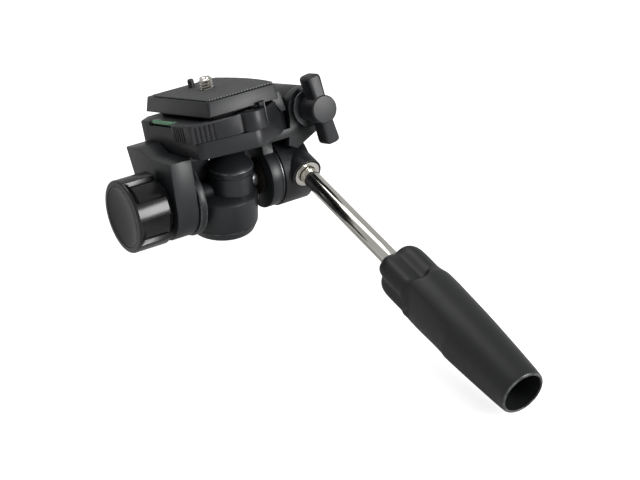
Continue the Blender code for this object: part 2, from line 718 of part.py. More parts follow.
def make_yoke(joint):
    """One casting: left arm, bridge, right arm and the fork of the side-tilt hinge."""
    yoke = bevel(prism("yoke", left_arm_outline(), ARM_OUT_X, ARM_IN_X), EDGE_BREAK, 2)
    bridge = box("bridge_tool", (ARM_OUT_X + SEAT_GAP * 4, BRIDGE_FRONT, BRIDGE_LOW),
                 (HOOD_END_X, BRIDGE_BACK, BRIDGE_TOP))
    join(yoke, bridge, TILT)
    hollow = arc((0, 0), BRIDGE_LOW, QUARTER, QUARTER - SADDLE_END, 8)
    saddle = hollow + [(BRIDGE_BACK, hollow[-1][1] + SADDLE_LIP), (BRIDGE_BACK, BRIDGE_TOP - SEAT_GAP),
                       (0, BRIDGE_TOP - SEAT_GAP)]
    join(yoke, prism("saddle_tool", saddle, ARM_IN_X - SEAT_GAP, RIGHT_IN_X + SEAT_GAP), SIDEWAYS)
    join(yoke, cylinder("right_lug_tool", RIGHT_R, RIGHT_IN_X, RIGHT_OUT_X, SIDES), TILT_AXLE)
    neck = box("right_neck_tool", (RIGHT_IN_X, -RIGHT_NECK_W / 2, 0), (RIGHT_OUT_X, RIGHT_NECK_W / 2, BRIDGE_TOP - SEAT_GAP))
    join(yoke, neck, TILT)
    hood = box("hood_tool", (RIGHT_IN_X + SEAT_GAP, EAR_FRONT, HOOD_LOW), (HOOD_END_X, REAR_EAR_BACK, BRIDGE_TOP))
    join(yoke, hood, TILT)
    join_ears(yoke)
    step = box("arm_step", (ARM_STEP_X, ARM_TOE_Y * 2, ARM_STEP_Z), (PLAT_LEFT, ARM_TIP_Y * 2, ARM_TIP_TOP * 2))
    cut(yoke, step, TILT)
    cut(yoke, cylinder("left_bore", TRUNNION_R + RUN_GAP, ARM_OUT_X - CUT_OVER, ARM_IN_X + CUT_OVER,
                       SMALL_SIDES * 2), TILT_AXLE)
    cut(yoke, cylinder("right_bore", TRUNNION_R + RUN_GAP, RIGHT_IN_X - CUT_OVER, RIGHT_OUT_X + CUT_OVER,
                       SMALL_SIDES * 2), TILT_AXLE)
    cut(yoke, cylinder("bolt_bore", BOLT_R + SEAT_GAP, -REAR_EAR_BACK - CUT_OVER, -EAR_FRONT + CUT_OVER), HINGE)
    for index, angle in enumerate(BOSS_SCREW_ANGLES):
        spot = boss_screw_frame(angle)
        cut(yoke, cylinder("arm_hole_%d" % index, BOSS_SCREW_R + SEAT_GAP, RIGHT_IN_X - CUT_OVER,
                           RIGHT_OUT_X + CUT_OVER, SMALL_SIDES // 2), spot)
        cut(yoke, cylinder("arm_sink_%d" % index, BOSS_SCREW_HEAD_R + SEAT_GAP, RIGHT_IN_X - CUT_OVER,
                           RIGHT_IN_X + BOSS_SCREW_HEAD_T + SEAT_GAP * 2, SMALL_SIDES), spot)
    place(yoke, joint, SIDEWAYS, ALLOY)


def join_ears(yoke):
    """Front ear with its skirt over the handle boss, and rear ear, of the side-tilt fork."""
    front = cylinder("front_ear_tool", EAR_R, -EAR_FRONT - EAR_T, -EAR_FRONT, SIDES)
    join(yoke, front, HINGE)
    rear = cylinder("rear_ear_tool", EAR_R, -REAR_EAR_BACK, -REAR_EAR_BACK + EAR_T, SIDES)
    join(yoke, rear, HINGE)
    left = HOOD_END_X - EAR_T / 2
    foot = [(left, BRIDGE_TOP), (left, HOOD_LOW), (HINGE_X + EAR_R / 2, HOOD_LOW),
            (HINGE_X + EAR_R * 0.97, HINGE_Z), (HINGE_X - EAR_R * 0.97, HINGE_Z), (HOOD_END_X, BRIDGE_TOP)]
    rear_foot = prism("rear_foot_tool", foot, -REAR_EAR_BACK, -REAR_EAR_BACK + EAR_T)
    join(yoke, rear_foot, FRONTWAYS)
    front_foot = prism("front_foot_tool", foot, -EAR_FRONT - EAR_T, -EAR_FRONT)
    join(yoke, front_foot, FRONTWAYS)
    skirt = [(HINGE_X - EAR_R * 1.1, BRIDGE_TOP - SEAT_GAP), (HINGE_X - EAR_R * 1.3, HOOD_LOW - EAR_R * 0.38),
             (HINGE_X - EAR_R * 0.9, HOOD_LOW - EAR_R * 0.6), (HINGE_X + EAR_R * 0.1, HOOD_LOW - EAR_R * 0.15),
             (HINGE_X + EAR_R * 0.5, HOOD_LOW + SEAT_GAP), (HINGE_X, HINGE_Z - EAR_R / 2)]
    join(yoke, prism("skirt_tool", skirt, -EAR_FRONT - SKIRT_T, -EAR_FRONT - SEAT_GAP / 2), FRONTWAYS)


def boss_screw_frame(angle):
    """Axle frame moved to one of the boss screws."""
    spot = shift(0, BOSS_SCREW_CIRCLE_R * math.cos(angle), BOSS_SCREW_CIRCLE_R * math.sin(angle))
    return TILT @ spot @ turn(QUARTER, "Y")


def make_handle_boss(joint):
    """Split clamp round the stub axle, with the handle's socket across it."""
    inner = RIGHT_OUT_X + SEAT_GAP + RING_T + SEAT_GAP
    boss = cylinder("handle_boss", BOSS_R, inner, BOSS_OUT_X, SIDES)
    join(boss, cylinder("socket_tool", SOCKET_R, SOCKET_BACK, SOCKET_END, SIDES), HANDLE)
    bore = cylinder("boss_bore", AXLE_THIN_R + RUN_GAP, inner - CUT_OVER, BOSS_OUT_X + CUT_OVER, SMALL_SIDES * 2)
    cut(boss, bore, TILT_AXLE)
    cut(boss, cylinder("rod_bore", ROD_R + SEAT_GAP, ROD_START - SEAT_GAP, SOCKET_END + CUT_OVER), HANDLE)
    cut(boss, cylinder("thread_bore", ROD_THREAD_R + SEAT_GAP, ROD_THREAD_START - SEAT_GAP, ROD_START), HANDLE)
    well = cylinder("ferrule_well", FERRULE_R + SEAT_GAP, SOCKET_END + FERRULE_PROUD - FERRULE_T - SEAT_GAP,
                    SOCKET_END + CUT_OVER, SIDES)
    cut(boss, well, HANDLE)
    head_room = cylinder("axle_head_room", AXLE_SCREW_HEAD_R + SWEEP_GAP, BOSS_OUT_X,
                         BOSS_OUT_X + AXLE_SCREW_HEAD_T + SOCKET_R, SIDES)
    cut(boss, head_room, TILT_AXLE)
    middle = HANDLE_RISE * math.sin(HANDLE_DROOP - TILT_ANGLE)
    slot = box("clamp_slot", (inner - HANDLE_X - CUT_OVER, -HANDLE_RISE, middle - BOSS_CLAMP_SLOT / 2),
               (SOCKET_R + CUT_OVER, BOSS_R, middle + BOSS_CLAMP_SLOT / 2))
    cut(boss, slot, HANDLE)
    for index, angle in enumerate(BOSS_SCREW_ANGLES):
        hole = cylinder("boss_hole_%d" % index, BOSS_SCREW_R + SEAT_GAP, inner - CUT_OVER,
                        BOSS_SCREW_END_X + SEAT_GAP, SMALL_SIDES // 2)
        cut(boss, hole, boss_screw_frame(angle))
    place(boss, joint, TILT_AXLE, PLASTIC)


def make_boss_hardware(joint):
    """Ring between arm and boss, the screws through them, and the bright ferrule round the rod."""
    low = RIGHT_OUT_X + SEAT_GAP
    washer = ring("boss_ring", TRUNNION_R + SEAT_GAP, RIGHT_R, low, low + RING_T)
    for index, angle in enumerate(BOSS_SCREW_ANGLES):
        hole = cylinder("ring_hole_%d" % index, BOSS_SCREW_R + SEAT_GAP, low - CUT_OVER, low + RING_T + CUT_OVER,
                        SMALL_SIDES // 2)
        cut(washer, hole, boss_screw_frame(angle))
    place(washer, joint, TILT_AXLE, ALLOY)
    head = RIGHT_IN_X + SEAT_GAP
    for index, angle in enumerate(BOSS_SCREW_ANGLES):
        screw = turned("boss_screw_%s" % "ab"[index], [
            (0, head), (BOSS_SCREW_HEAD_R, head), (BOSS_SCREW_HEAD_R, head + BOSS_SCREW_HEAD_T),
            (BOSS_SCREW_R, head + BOSS_SCREW_HEAD_T), (BOSS_SCREW_R, BOSS_SCREW_END_X), (0, BOSS_SCREW_END_X)],
            SMALL_SIDES // 2)
        place(screw, joint, boss_screw_frame(angle), STEEL)
    top = SOCKET_END + FERRULE_PROUD
    ferrule = ring("socket_ferrule", ROD_R + RUN_GAP * 2, FERRULE_R, top - FERRULE_T, top)
    place(ferrule, joint, HANDLE, CHROME)


# Handle
def make_rod(joint):
    """Plated rod with its threaded clamp end."""
    rod = turned("handle_rod", [
        (0, ROD_THREAD_START), (ROD_THREAD_R, ROD_THREAD_START), (ROD_THREAD_R, ROD_START), (ROD_R, ROD_START),
        (ROD_R, ROD_END), (0, ROD_END)], SMALL_SIDES * 2)
    place(rod, joint, HANDLE, CHROME)


def grip_radius(share, angle, s):
    """Outer radius of the grip at a station: turned shape less its flutes and the thumb scoop."""
    radius = GRIP_R * share
    lobe = math.cos(GRIP_LOBES * (angle - GRIP_LOBE_ANGLE))
    groove = ((1 - lobe) / 2) ** 1.6
    arch = GRIP_FLUTE_END - GRIP_FLUTE_FADE * (1 - groove)
    depth = min(max((arch + GRIP_FLUTE_FADE - s) / GRIP_FLUTE_FADE, 0), 1)
    radius -= GRIP_FLUTE_DEPTH * groove * depth * share
    off = math.remainder(angle - GRIP_SCOOP_ANGLE, math.tau) / GRIP_SCOOP_HALF_ANGLE
    along = (s - GRIP_FLUTE_END) / (GRIP_SCOOP_END - GRIP_FLUTE_END)
    if abs(off) < 1 and 0 < along < 1:
        radius -= GRIP_SCOOP_DEPTH * (1 - off * off) * (1 - along) ** 0.6 * min(along * 8, 1)
    return radius


def make_grip(joint):
    """Lofted grip: lobed nose, swelling shoulder and taper to an open end, with its stepped bore."""
    length = GRIP_END - GRIP_START
    bm = bmesh.new()
    rings = []
    for along, share in GRIP_PROFILE_SHARES:
        s = GRIP_START + along * length
        loop = []
        for side in range(GRIP_SIDES):
            angle = math.tau * side / GRIP_SIDES
            radius = grip_radius(share, angle, s)
            loop.append(bm.verts.new((radius * math.cos(angle), radius * math.sin(angle), s)))
        rings.append(loop)
    for near, far in zip(rings, rings[1:]):
        for side in range(GRIP_SIDES):
            after = (side + 1) % GRIP_SIDES
            bm.faces.new((near[side], near[after], far[after], far[side]))
    bm.faces.new(rings[0])
    bm.faces.new(rings[-1])
    grip = add_mesh("handle_grip", bm)
    bore = turned("grip_bore", [
        (0, GRIP_START - CUT_OVER), (ROD_R + SEAT_GAP, GRIP_START - CUT_OVER), (ROD_R + SEAT_GAP, GRIP_WELL_START),
        (GRIP_WELL_R, GRIP_WELL_START), (GRIP_WELL_R, GRIP_BORE_START), (GRIP_BORE_R, GRIP_BORE_START),
        (GRIP_BORE_R, GRIP_END + CUT_OVER), (0, GRIP_END + CUT_OVER)], SMALL_SIDES * 2)
    cut(grip, bore, HANDLE)
    place(grip, joint, HANDLE, GRIP)


def make_grip_hardware(joint):
    """Sleeve and nut that hold the grip on the rod."""
    low = GRIP_WELL_START + SEAT_GAP
    sleeve = ring("grip_sleeve", ROD_R + SEAT_GAP, GRIP_INSERT_R, low, low + GRIP_INSERT_L, SMALL_SIDES)
    place(sleeve, joint, HANDLE, BRASS)
    low += GRIP_INSERT_L + SEAT_GAP
    nut = prism("grip_nut", hexagon(GRIP_INSERT_R), low, low + GRIP_NUT_T)
    cut(nut, cylinder("grip_nut_bore", ROD_R + SEAT_GAP, low - CUT_OVER, low + GRIP_NUT_T + CUT_OVER), HANDLE)
    place(nut, joint, HANDLE, STEEL)


# Side-tilt hinge
def make_hinge_hardware(joint):
    """Captive hinge bolt and the washer under the wing knob."""
    head = -REAR_EAR_BACK - SEAT_GAP
    bolt = prism("hinge_bolt", hexagon(BOLT_HEAD_R), head - BOLT_HEAD_T, head)
    join(bolt, cylinder("bolt_shank_tool", BOLT_R, head - BOLT_HEAD_T / 2, BOLT_END), HINGE)
    place(bolt, joint, HINGE, STEEL)
    low = -EAR_FRONT + SEAT_GAP
    washer = ring("hinge_washer", BOLT_R + SEAT_GAP, HINGE_WASHER_R, low, low + HINGE_WASHER_T)
    place(washer, joint, HINGE, CHROME)


def wing_outline():
    """Front view of both wings: straight sides that flare a little to rounded tips."""
    half = WING_W / 2
    tip = WING_TIP_W / 2
    corner = tip * 0.55
    upper = arc((tip - corner, WING_SPAN_R - corner), corner, 0, QUARTER, 4)
    upper += arc((corner - tip, WING_SPAN_R - corner), corner, QUARTER, 2 * QUARTER, 4)
    lower = [(-x, -y) for x, y in upper]
    return [(half, WING_HUB_R / 2)] + upper + [(-half, WING_HUB_R / 2), (-half, -WING_HUB_R / 2)] + lower + [
        (half, -WING_HUB_R / 2)]


def make_wing_knob(joint):
    """Wing knob with round hub and neck, and its brass insert on the bolt's thread."""
    low = -EAR_FRONT + SEAT_GAP * 2 + HINGE_WASHER_T
    neck_end = low + WING_NECK_L
    knob = turned("wing_knob", [
        (0, low), (WING_NECK_R, low), (WING_NECK_R, neck_end), (WING_HUB_R, neck_end),
        (WING_HUB_R, WING_HUB_END - EDGE_BREAK), (WING_HUB_R - EDGE_BREAK, WING_HUB_END), (0, WING_HUB_END)])
    wings = bevel(prism("wings_tool", wing_outline(), neck_end, WING_HUB_END - EDGE_BREAK * 1.2), WING_BEVEL, 2)
    join(knob, wings, HINGE @ turn(WING_LEAN, "Z"))
    insert_end = low + WING_INSERT_L
    well = turned("wing_bore", [
        (0, low - CUT_OVER), (WING_INSERT_R + SEAT_GAP, low - CUT_OVER), (WING_INSERT_R + SEAT_GAP, insert_end + SEAT_GAP),
        (BOLT_R + SEAT_GAP, insert_end + SEAT_GAP), (BOLT_R + SEAT_GAP, BOLT_END + SEAT_GAP), (0, BOLT_END + SEAT_GAP)],
        SMALL_SIDES)
    cut(knob, well, HINGE)
    place(knob, joint, HINGE, PLASTIC)
    insert = ring("wing_insert", BOLT_R + RUN_GAP * 2, WING_INSERT_R, low, insert_end, SMALL_SIDES)
    place(insert, joint, HINGE, BRASS)


# Side-tilting platform
def front_line(x):
    """The y of the platform's slanted front, left of its nose."""
    slope = (PLAT_NOSE_Y - PLAT_FRONT_LEFT_Y) / (PLAT_NOSE_X - PLAT_LEFT)
    return PLAT_FRONT_LEFT_Y + slope * (x - PLAT_LEFT)


def flank_point(share):
    """Point on the slanted flank between the nose and the right front corner."""
    return (PLAT_NOSE_X + (PLAT_RIGHT - PLAT_NOSE_X) * share,
            PLAT_NOSE_Y + (PLAT_RIGHT_FRONT_Y - PLAT_NOSE_Y) * share)


def soften(before, corner, after, length):
    """Four points that round a corner, starting the given length before it."""
    start = Vector(corner) + (Vector(before) - Vector(corner)).normalized() * length
    end = Vector(corner) + (Vector(after) - Vector(corner)).normalized() * length
    rounded = []
    for share in (0, 1 / 3, 2 / 3, 1):
        rest = 1 - share
        rounded.append(tuple(start * rest * rest + Vector(corner) * 2 * rest * share + end * share * share))
    return rounded


def front_corners():
    """The slab's rounded left front corner and nose."""
    left_back = (PLAT_LEFT, PLAT_BACK)
    left = (PLAT_LEFT, PLAT_FRONT_LEFT_Y)
    nose = (PLAT_NOSE_X, PLAT_NOSE_Y)
    return soften(left_back, left, nose, PLAT_CORNER) + soften(left, nose, flank_point(1), PLAT_CORNER)


def lever_room_outline():
    """What the deck leaves free along the front: room for the lever's leg, tab and drum."""
    inset = LEVER_T + LEVER_SWEEP + SEAT_GAP
    left = PLAT_LEFT - LEVER_PROUD + inset
    outside = PLAT_LEFT - CUT_OVER
    before = PLAT_NOSE_Y - CUT_OVER
    drum = arc((PIVOT_X, PIVOT_Y), DRUM_R + LEVER_SWEEP, math.radians(-20), math.radians(160), 10)
    leg_end = drum[-1][0] - EDGE_BREAK
    return drum + [(leg_end, front_line(leg_end) + inset), (left, front_line(left) + inset),
                   (left, LEVER_TAB_BACK + SEAT_GAP), (outside, LEVER_TAB_BACK + SEAT_GAP), (outside, before),
                   (drum[0][0], before)]


def plate_reach(height):
    """How far the plate's ends reach from its middle, anywhere below the given height."""
    share = (height - PLATE_LOW) / (PLATE_TOP - PLATE_LOW)
    return max(PLATE_LOW_L, PLATE_LOW_L + (PLATE_TOP_L - PLATE_LOW_L) * share) / 2


def plate_side(height):
    """How far the plate's bowed side reaches from its middle, anywhere below the given height."""
    share = (height - PLATE_LOW) / (PLATE_TOP - PLATE_LOW)
    low = PLATE_LOW_W / 2 + PLATE_BULGE
    top = PLATE_TOP_W / 2 + PLATE_TOP_EXTRA + PLATE_TOP_BULGE
    return max(low, low + (top - low) * share)


def make_platform(joint):
    """Slab, deck, pedestal, jaw and hinge knuckle in one moulding."""
    outline = front_corners() + [
        flank_point(1), (PLAT_RIGHT, REAR_EAR_BACK), (PLAT_RIGHT - PLAT_BACK_CUT, PLAT_BACK),
        (PLAT_LEFT + PLAT_BACK_CUT, PLAT_BACK), (PLAT_LEFT, PLAT_BACK - PLAT_BACK_CUT)]
    base = bevel(prism("platform_base", outline, LIP_LOW, DECK_TOP), PLAT_FILLET)
    cut(base, prism("lever_room", lever_room_outline(), SLAB_TOP, DECK_TOP + CUT_OVER), TILT)
    under = box("under_room", (PLAT_LEFT * 2, LIP_BACK, LIP_LOW - CUT_OVER), (PLAT_RIGHT * 2, PLAT_BACK * 2, SLAB_LOW))
    cut(base, under, TILT)
    half_w = PLATE_TOP_W / 2 - JAW_W
    front = PIVOT_Y + DRUM_R + LEVER_SWEEP + SEAT_GAP
    pedestal = box("pedestal_tool", (PLATE_CX - half_w, front, DECK_TOP - PLAT_FILLET),
                   (PLATE_CX + half_w, PLAT_BACK - PEDESTAL_SET, PEDESTAL_TOP))
    join(base, pedestal, TILT)
    jaw_x = PLATE_CX + plate_side(JAW_TOP) + SEAT_GAP
    jaw = box("jaw_tool", (jaw_x, JAW_FRONT, DECK_TOP - PLAT_FILLET), (jaw_x + JAW_W, JAW_BACK, JAW_TOP))
    join(base, jaw, TILT)
    fin_top = JAW_TOP - SEAT_GAP / 2
    fin = [(jaw_x + SEAT_GAP / 2, fin_top), (jaw_x + SEAT_GAP / 2, PEDESTAL_TOP - SEAT_GAP),
           (jaw_x - FIN_INSIDE, PEDESTAL_TOP - SEAT_GAP), (jaw_x + FIN_FOOT_IN, FIN_LOW),
           (jaw_x + FIN_FOOT_OUT, FIN_LOW), (jaw_x + JAW_W - SEAT_GAP / 2, fin_top)]
    join(base, prism("fin_tool", fin, -JAW_FRONT - SEAT_GAP, -JAW_FRONT + FIN_PROUD), FRONTWAYS)
    stop_x = PIVOT_X + DRUM_R + LEVER_SWEEP
    stop_y = PLATE_CY - plate_reach(STOP_TOP) - SEAT_GAP
    post = [(stop_x, stop_y), (stop_x, stop_y - STOP_D), (stop_x + STOP_W * 0.3, stop_y - STOP_D),
            (stop_x + STOP_W, stop_y)]
    join(base, prism("stop_post_tool", post, SLAB_TOP + SEAT_GAP, STOP_TOP), TILT)
    tongue = box("stop_tongue_tool", (stop_x - STOP_TONGUE, stop_y - STOP_D + SEAT_GAP / 2, LEVER_TOP + LEVER_SWEEP),
                 (stop_x + SEAT_GAP, stop_y - SEAT_GAP / 2, STOP_TOP - SEAT_GAP / 3))
    join(base, tongue, TILT)
    web = box("web_tool", (PLAT_RIGHT - JAW_W, EAR_FRONT + EAR_T + KNUCKLE_GAP * 2, SLAB_LOW + PLAT_FILLET * 2),
              (HINGE_X, REAR_EAR_BACK - EAR_T - KNUCKLE_GAP * 2, DECK_TOP - PLAT_FILLET * 2))
    join(base, web, TILT)
    knuckle = cylinder("knuckle_tool", EAR_R, -REAR_EAR_BACK + EAR_T, -EAR_FRONT - EAR_T, SIDES)
    join(base, knuckle, HINGE)
    sweep = EAR_R + SWEEP_GAP
    front_clear = cylinder("front_ear_room", sweep, -EAR_FRONT - EAR_T - KNUCKLE_GAP, -EAR_FRONT + EAR_T, SIDES)
    cut(base, front_clear, HINGE)
    rear_clear = cylinder("rear_ear_room", sweep, -REAR_EAR_BACK - EAR_T, -REAR_EAR_BACK + EAR_T + KNUCKLE_GAP, SIDES)
    cut(base, rear_clear, HINGE)
    cut(base, cylinder("knuckle_bore", BOLT_R + RUN_GAP * 2, EAR_FRONT * 2, -EAR_FRONT * 2), HINGE)
    level = box("level_room", (PLAT_LEFT * 2, VIAL_FRONT - SEAT_GAP, VIAL_Z - VIAL_R - SEAT_GAP),
                (VIAL_X + VIAL_R + SEAT_GAP, VIAL_FRONT + VIAL_L + LEVEL_PLUG_T + SEAT_GAP * 2, DECK_TOP * 2))
    cut(base, level, TILT)
    cut(base, cylinder("pin_hole", PIN_R + SEAT_GAP, SLAB_LOW - CUT_OVER, LEVER_TOP), LEVER)
    place(base, joint, TILT, PLASTIC)


def make_level(joint):
    """Acrylic tube with its green liquid and end plug, lying along the left edge."""
    spot = TILT @ shift(VIAL_X, VIAL_FRONT, VIAL_Z) @ turn(-QUARTER, "X")
    tube = turned("level_vial", [
        (0, 0), (VIAL_R, 0), (VIAL_R, VIAL_L), (VIAL_R - VIAL_WALL, VIAL_L), (VIAL_R - VIAL_WALL, VIAL_WALL),
        (0, VIAL_WALL)], SMALL_SIDES)
    place(tube, joint, spot, ACRYLIC)
    start = VIAL_WALL + SEAT_GAP / 3
    liquid = cylinder("level_liquid", VIAL_R - VIAL_WALL - SEAT_GAP / 3, start, VIAL_L - SEAT_GAP)
    place(liquid, joint, spot, GREEN)
    plug = cylinder("level_plug", VIAL_R, VIAL_L + SEAT_GAP, VIAL_L + SEAT_GAP + LEVEL_PLUG_T)
    place(plug, joint, spot, PLASTIC)


def make_lever_hardware(joint):
    """Pivot pin with its sunk head, and the torsion spring round it."""
    top = LEVER_TOP - SEAT_GAP
    pin = turned("lever_pin", [
        (0, PIN_LOW), (PIN_R, PIN_LOW), (PIN_R, top - PIN_HEAD_T), (PIN_HEAD_R, top - PIN_HEAD_T),
        (PIN_HEAD_R, top), (0, top)], SMALL_SIDES)
    place(pin, joint, LEVER, STEEL)
    low = LEVER_LOW + SEAT_GAP
    spring = ring("lever_spring", PIN_R + SEAT_GAP, TORSION_R, low, low + TORSION_L, SMALL_SIDES)
    place(spring, joint, LEVER, STEEL)


def lever_outline():
    """L-shaped lever: drum at the pivot, leg along the front, tab round the left corner."""
    proud = LEVER_PROUD / 4
    left = PLAT_LEFT - LEVER_PROUD
    inner = left + LEVER_T
    corner = LEVER_CORNER
    start = PIVOT_X - DRUM_R - LEVER_STEP
    drum = arc((PIVOT_X, PIVOT_Y), DRUM_R, math.radians(-160), math.radians(150), 22)
    leg_in = [(drum[-1][0] - EDGE_BREAK * 2, front_line(drum[-1][0] - EDGE_BREAK * 2) + LEVER_T),
              (inner, front_line(inner) + LEVER_T)]
    tab = [(inner, LEVER_TAB_BACK), (left, LEVER_TAB_BACK), (left, front_line(left) + corner)]
    leg_out = [(left + corner, front_line(left + corner) - proud), (start, front_line(start) - proud),
               (start + LEVER_CORNER, drum[0][1])]
    return drum + leg_in + tab + leg_out


def make_lever(joint):
    """Clamp lever with finger ribs at its corner."""
    lever = prism("clamp_lever", lever_outline(), LEVER_LOW, LEVER_TOP)
    cut(lever, cylinder("lever_bore", PIN_R + SEAT_GAP, LEVER_LOW - CUT_OVER, LEVER_TOP + CUT_OVER), LEVER)
    cut(lever, cylinder("pin_head_room", PIN_HEAD_R + SEAT_GAP, LEVER_TOP - SEAT_GAP * 2 - PIN_HEAD_T,
                        LEVER_TOP + CUT_OVER), LEVER)
    cut(lever, cylinder("spring_room", TORSION_R + SEAT_GAP, LEVER_LOW - CUT_OVER, LEVER_LOW + TORSION_L + SEAT_GAP * 2),
        LEVER)
    slope = math.atan2(PLAT_NOSE_Y - PLAT_FRONT_LEFT_Y, PLAT_NOSE_X - PLAT_LEFT)
    left = PLAT_LEFT - LEVER_PROUD
    low = LEVER_LOW - CUT_OVER
    high = LEVER_TOP - LEVER_RIB_W
    face = TILT @ shift(left, front_line(left) - LEVER_PROUD / 4, 0) @ turn(slope, "Z")
    for index in range(LEVER_FRONT_RIBS):
        along = LEVER_RIB_START + index * LEVER_RIB_PITCH
        groove = box("front_groove_%d" % index, (along, -LEVER_RIB_DEPTH, low),
                     (along + LEVER_RIB_W, LEVER_RIB_DEPTH, high))
        cut(lever, groove, face)
    for index in range(LEVER_SIDE_RIBS):
        y = LEVER_TAB_BACK - LEVER_RIB_W - (index + 1) * LEVER_RIB_PITCH
        groove = box("side_groove_%d" % index, (left - LEVER_RIB_DEPTH, y, low),
                     (left + LEVER_RIB_DEPTH, y + LEVER_RIB_W, high))
        cut(lever, groove, TILT)
    place(lever, joint, TILT, PLASTIC)


# Quick-release plate
def plate_outline(width, length, bulge, corner, extra=0):
    """Rectangle with small corners and a bowed +X edge, set the given extra farther out."""
    w = width / 2
    side = w + extra
    l = length / 2
    bow = [(side + bulge * (1 - share * share), share * (l - corner)) for share in (-0.66, -0.33, 0, 0.33, 0.66)]
    return ([(side - corner, -l), (side, corner - l)] + bow
            + [(side, l - corner), (side - corner, l), (corner - w, l), (-w, l - corner), (-w, corner - l),
               (corner - w, -l)])


def make_plate(joint):
    """Drafted plate body, wider below, with wells for the camera screw and the video pin."""
    low = plate_outline(PLATE_LOW_W, PLATE_LOW_L, PLATE_BULGE, PLATE_CORNER)
    top = plate_outline(PLATE_TOP_W, PLATE_TOP_L, PLATE_TOP_BULGE, PLATE_CORNER, PLATE_TOP_EXTRA)
    bm = bmesh.new()
    lower = [bm.verts.new((x, y, PLATE_LOW)) for x, y in low]
    upper = [bm.verts.new((x, y, PLATE_TOP)) for x, y in top]
    count = len(lower)
    for index in range(count):
        after = (index + 1) % count
        bm.faces.new((lower[index], lower[after], upper[after], upper[index]))
    bm.faces.new(lower[::-1])
    bm.faces.new(upper)
    plate = bevel(add_mesh("quick_plate", bm, smooth=False), EDGE_BREAK / 2, 1)
    cut(plate, cylinder("screw_hole", CAMERA_SCREW_R + SEAT_GAP, PLATE_LOW, PLATE_TOP + CUT_OVER), CAMERA)
    cut(plate, cylinder("screw_well", CAMERA_HEAD_R + SEAT_GAP, PLATE_LOW - CUT_OVER, PLATE_LOW + CAMERA_WELL_T), CAMERA)
    cut(plate, cylinder("pin_hole_top", VIDEO_PIN_R + RUN_GAP, PLATE_LOW, PLATE_TOP + CUT_OVER), VIDEO)
    cut(plate, cylinder("pin_well", VIDEO_WELL_R, PLATE_LOW - CUT_OVER, PLATE_LOW + VIDEO_WELL_T), VIDEO)
    place(plate, joint, TILT @ shift(PLATE_CX, PLATE_CY, 0), PLASTIC)
    rubber = plate_outline(RUBBER_W, RUBBER_L, PLATE_TOP_BULGE, PLATE_CORNER, PLATE_TOP_EXTRA)
    pad = prism("plate_pad", rubber, PLATE_TOP + SEAT_GAP, RUBBER_TOP)
    cut(pad, cylinder("pad_screw_hole", CAMERA_SCREW_R + SEAT_GAP, PLATE_TOP, RUBBER_TOP + CUT_OVER), CAMERA)
    cut(pad, cylinder("pad_pin_hole", VIDEO_PIN_R + SEAT_GAP, PLATE_TOP, RUBBER_TOP + CUT_OVER), VIDEO)
    place(pad, joint, TILT @ shift(PLATE_CX, PLATE_CY - RUBBER_SET, 0), RUBBER)


def make_camera_screw(joint):
    """Quarter-inch screw with its flat head under the plate."""
    low = PLATE_LOW + CAMERA_WELL_T - SEAT_GAP - CAMERA_HEAD_T
    screw = turned("camera_screw", [
        (0, low), (CAMERA_HEAD_R, low), (CAMERA_HEAD_R, low + CAMERA_HEAD_T), (CAMERA_SCREW_R, low + CAMERA_HEAD_T),
        (CAMERA_SCREW_R, CAMERA_SCREW_TOP - EDGE_BREAK), (CAMERA_SCREW_R - EDGE_BREAK, CAMERA_SCREW_TOP),
        (0, CAMERA_SCREW_TOP)], SMALL_SIDES)
    place(screw, joint, CAMERA, CHROME)


def make_video_pin(joint):
    """Sprung locating pin with its flange."""
    top = PLATE_LOW + VIDEO_WELL_T - SEAT_GAP
    pin = turned("video_pin", [
        (0, top - VIDEO_FLANGE_T), (VIDEO_FLANGE_R, top - VIDEO_FLANGE_T), (VIDEO_FLANGE_R, top), (VIDEO_PIN_R, top),
        (VIDEO_PIN_R, VIDEO_PIN_TOP - EDGE_BREAK), (VIDEO_PIN_R - EDGE_BREAK, VIDEO_PIN_TOP), (0, VIDEO_PIN_TOP)],
        SMALL_SIDES)
    place(pin, joint, VIDEO, PLASTIC)


def make_pin_spring(joint):
    """Compression spring under the video pin, shown as its envelope."""
    top = PLATE_LOW + VIDEO_WELL_T - SEAT_GAP * 2 - VIDEO_FLANGE_T
    spring = ring("pin_spring", VIDEO_FLANGE_R - PIN_SPRING_WALL, VIDEO_FLANGE_R, PLATE_LOW, top, SMALL_SIDES // 2)
    place(spring, joint, VIDEO, STEEL)


# Assembly
for old in list(bpy.data.objects):
    bpy.data.objects.remove(old)
parts = bpy.data.collections.new("tripod_head")
tools = bpy.data.collections.new("cutters")
bpy.context.scene.collection.children.link(parts)
bpy.context.scene.collection.children.link(tools)

PLASTIC = black_plastic()
GLOSS = gloss_plastic()
ALLOY = black_alloy()
GRIP = grip_rubber()
STEEL = steel()
CHROME = chrome()
BRASS = brass()
FIBRE = friction_fibre()
RUBBER = pad_rubber()
ACRYLIC = vial_acrylic()
GREEN = level_green()

base = Joint("tripod_seat", PAN)
pan = Joint("pan_axis", PAN, base)
pan_lock = Joint("pan_knob_axis", AXLE, pan)
pan_brake = Joint("brake_axis", AXLE, pan)
tilt = Joint("tilt_axis", TILT, pan)
handle = Joint("handle_axis", HANDLE, tilt)
side_lock = Joint("wing_knob_axis", HINGE, tilt)
side = Joint("side_tilt_axis", HINGE, tilt)
lever_pivot = Joint("lever_axis", LEVER, side)
release = Joint("plate_lift_axis", TILT, side)
camera_turn = Joint("camera_screw_axis", CAMERA, release)
pin_press = Joint("video_pin_axis", VIDEO, release)

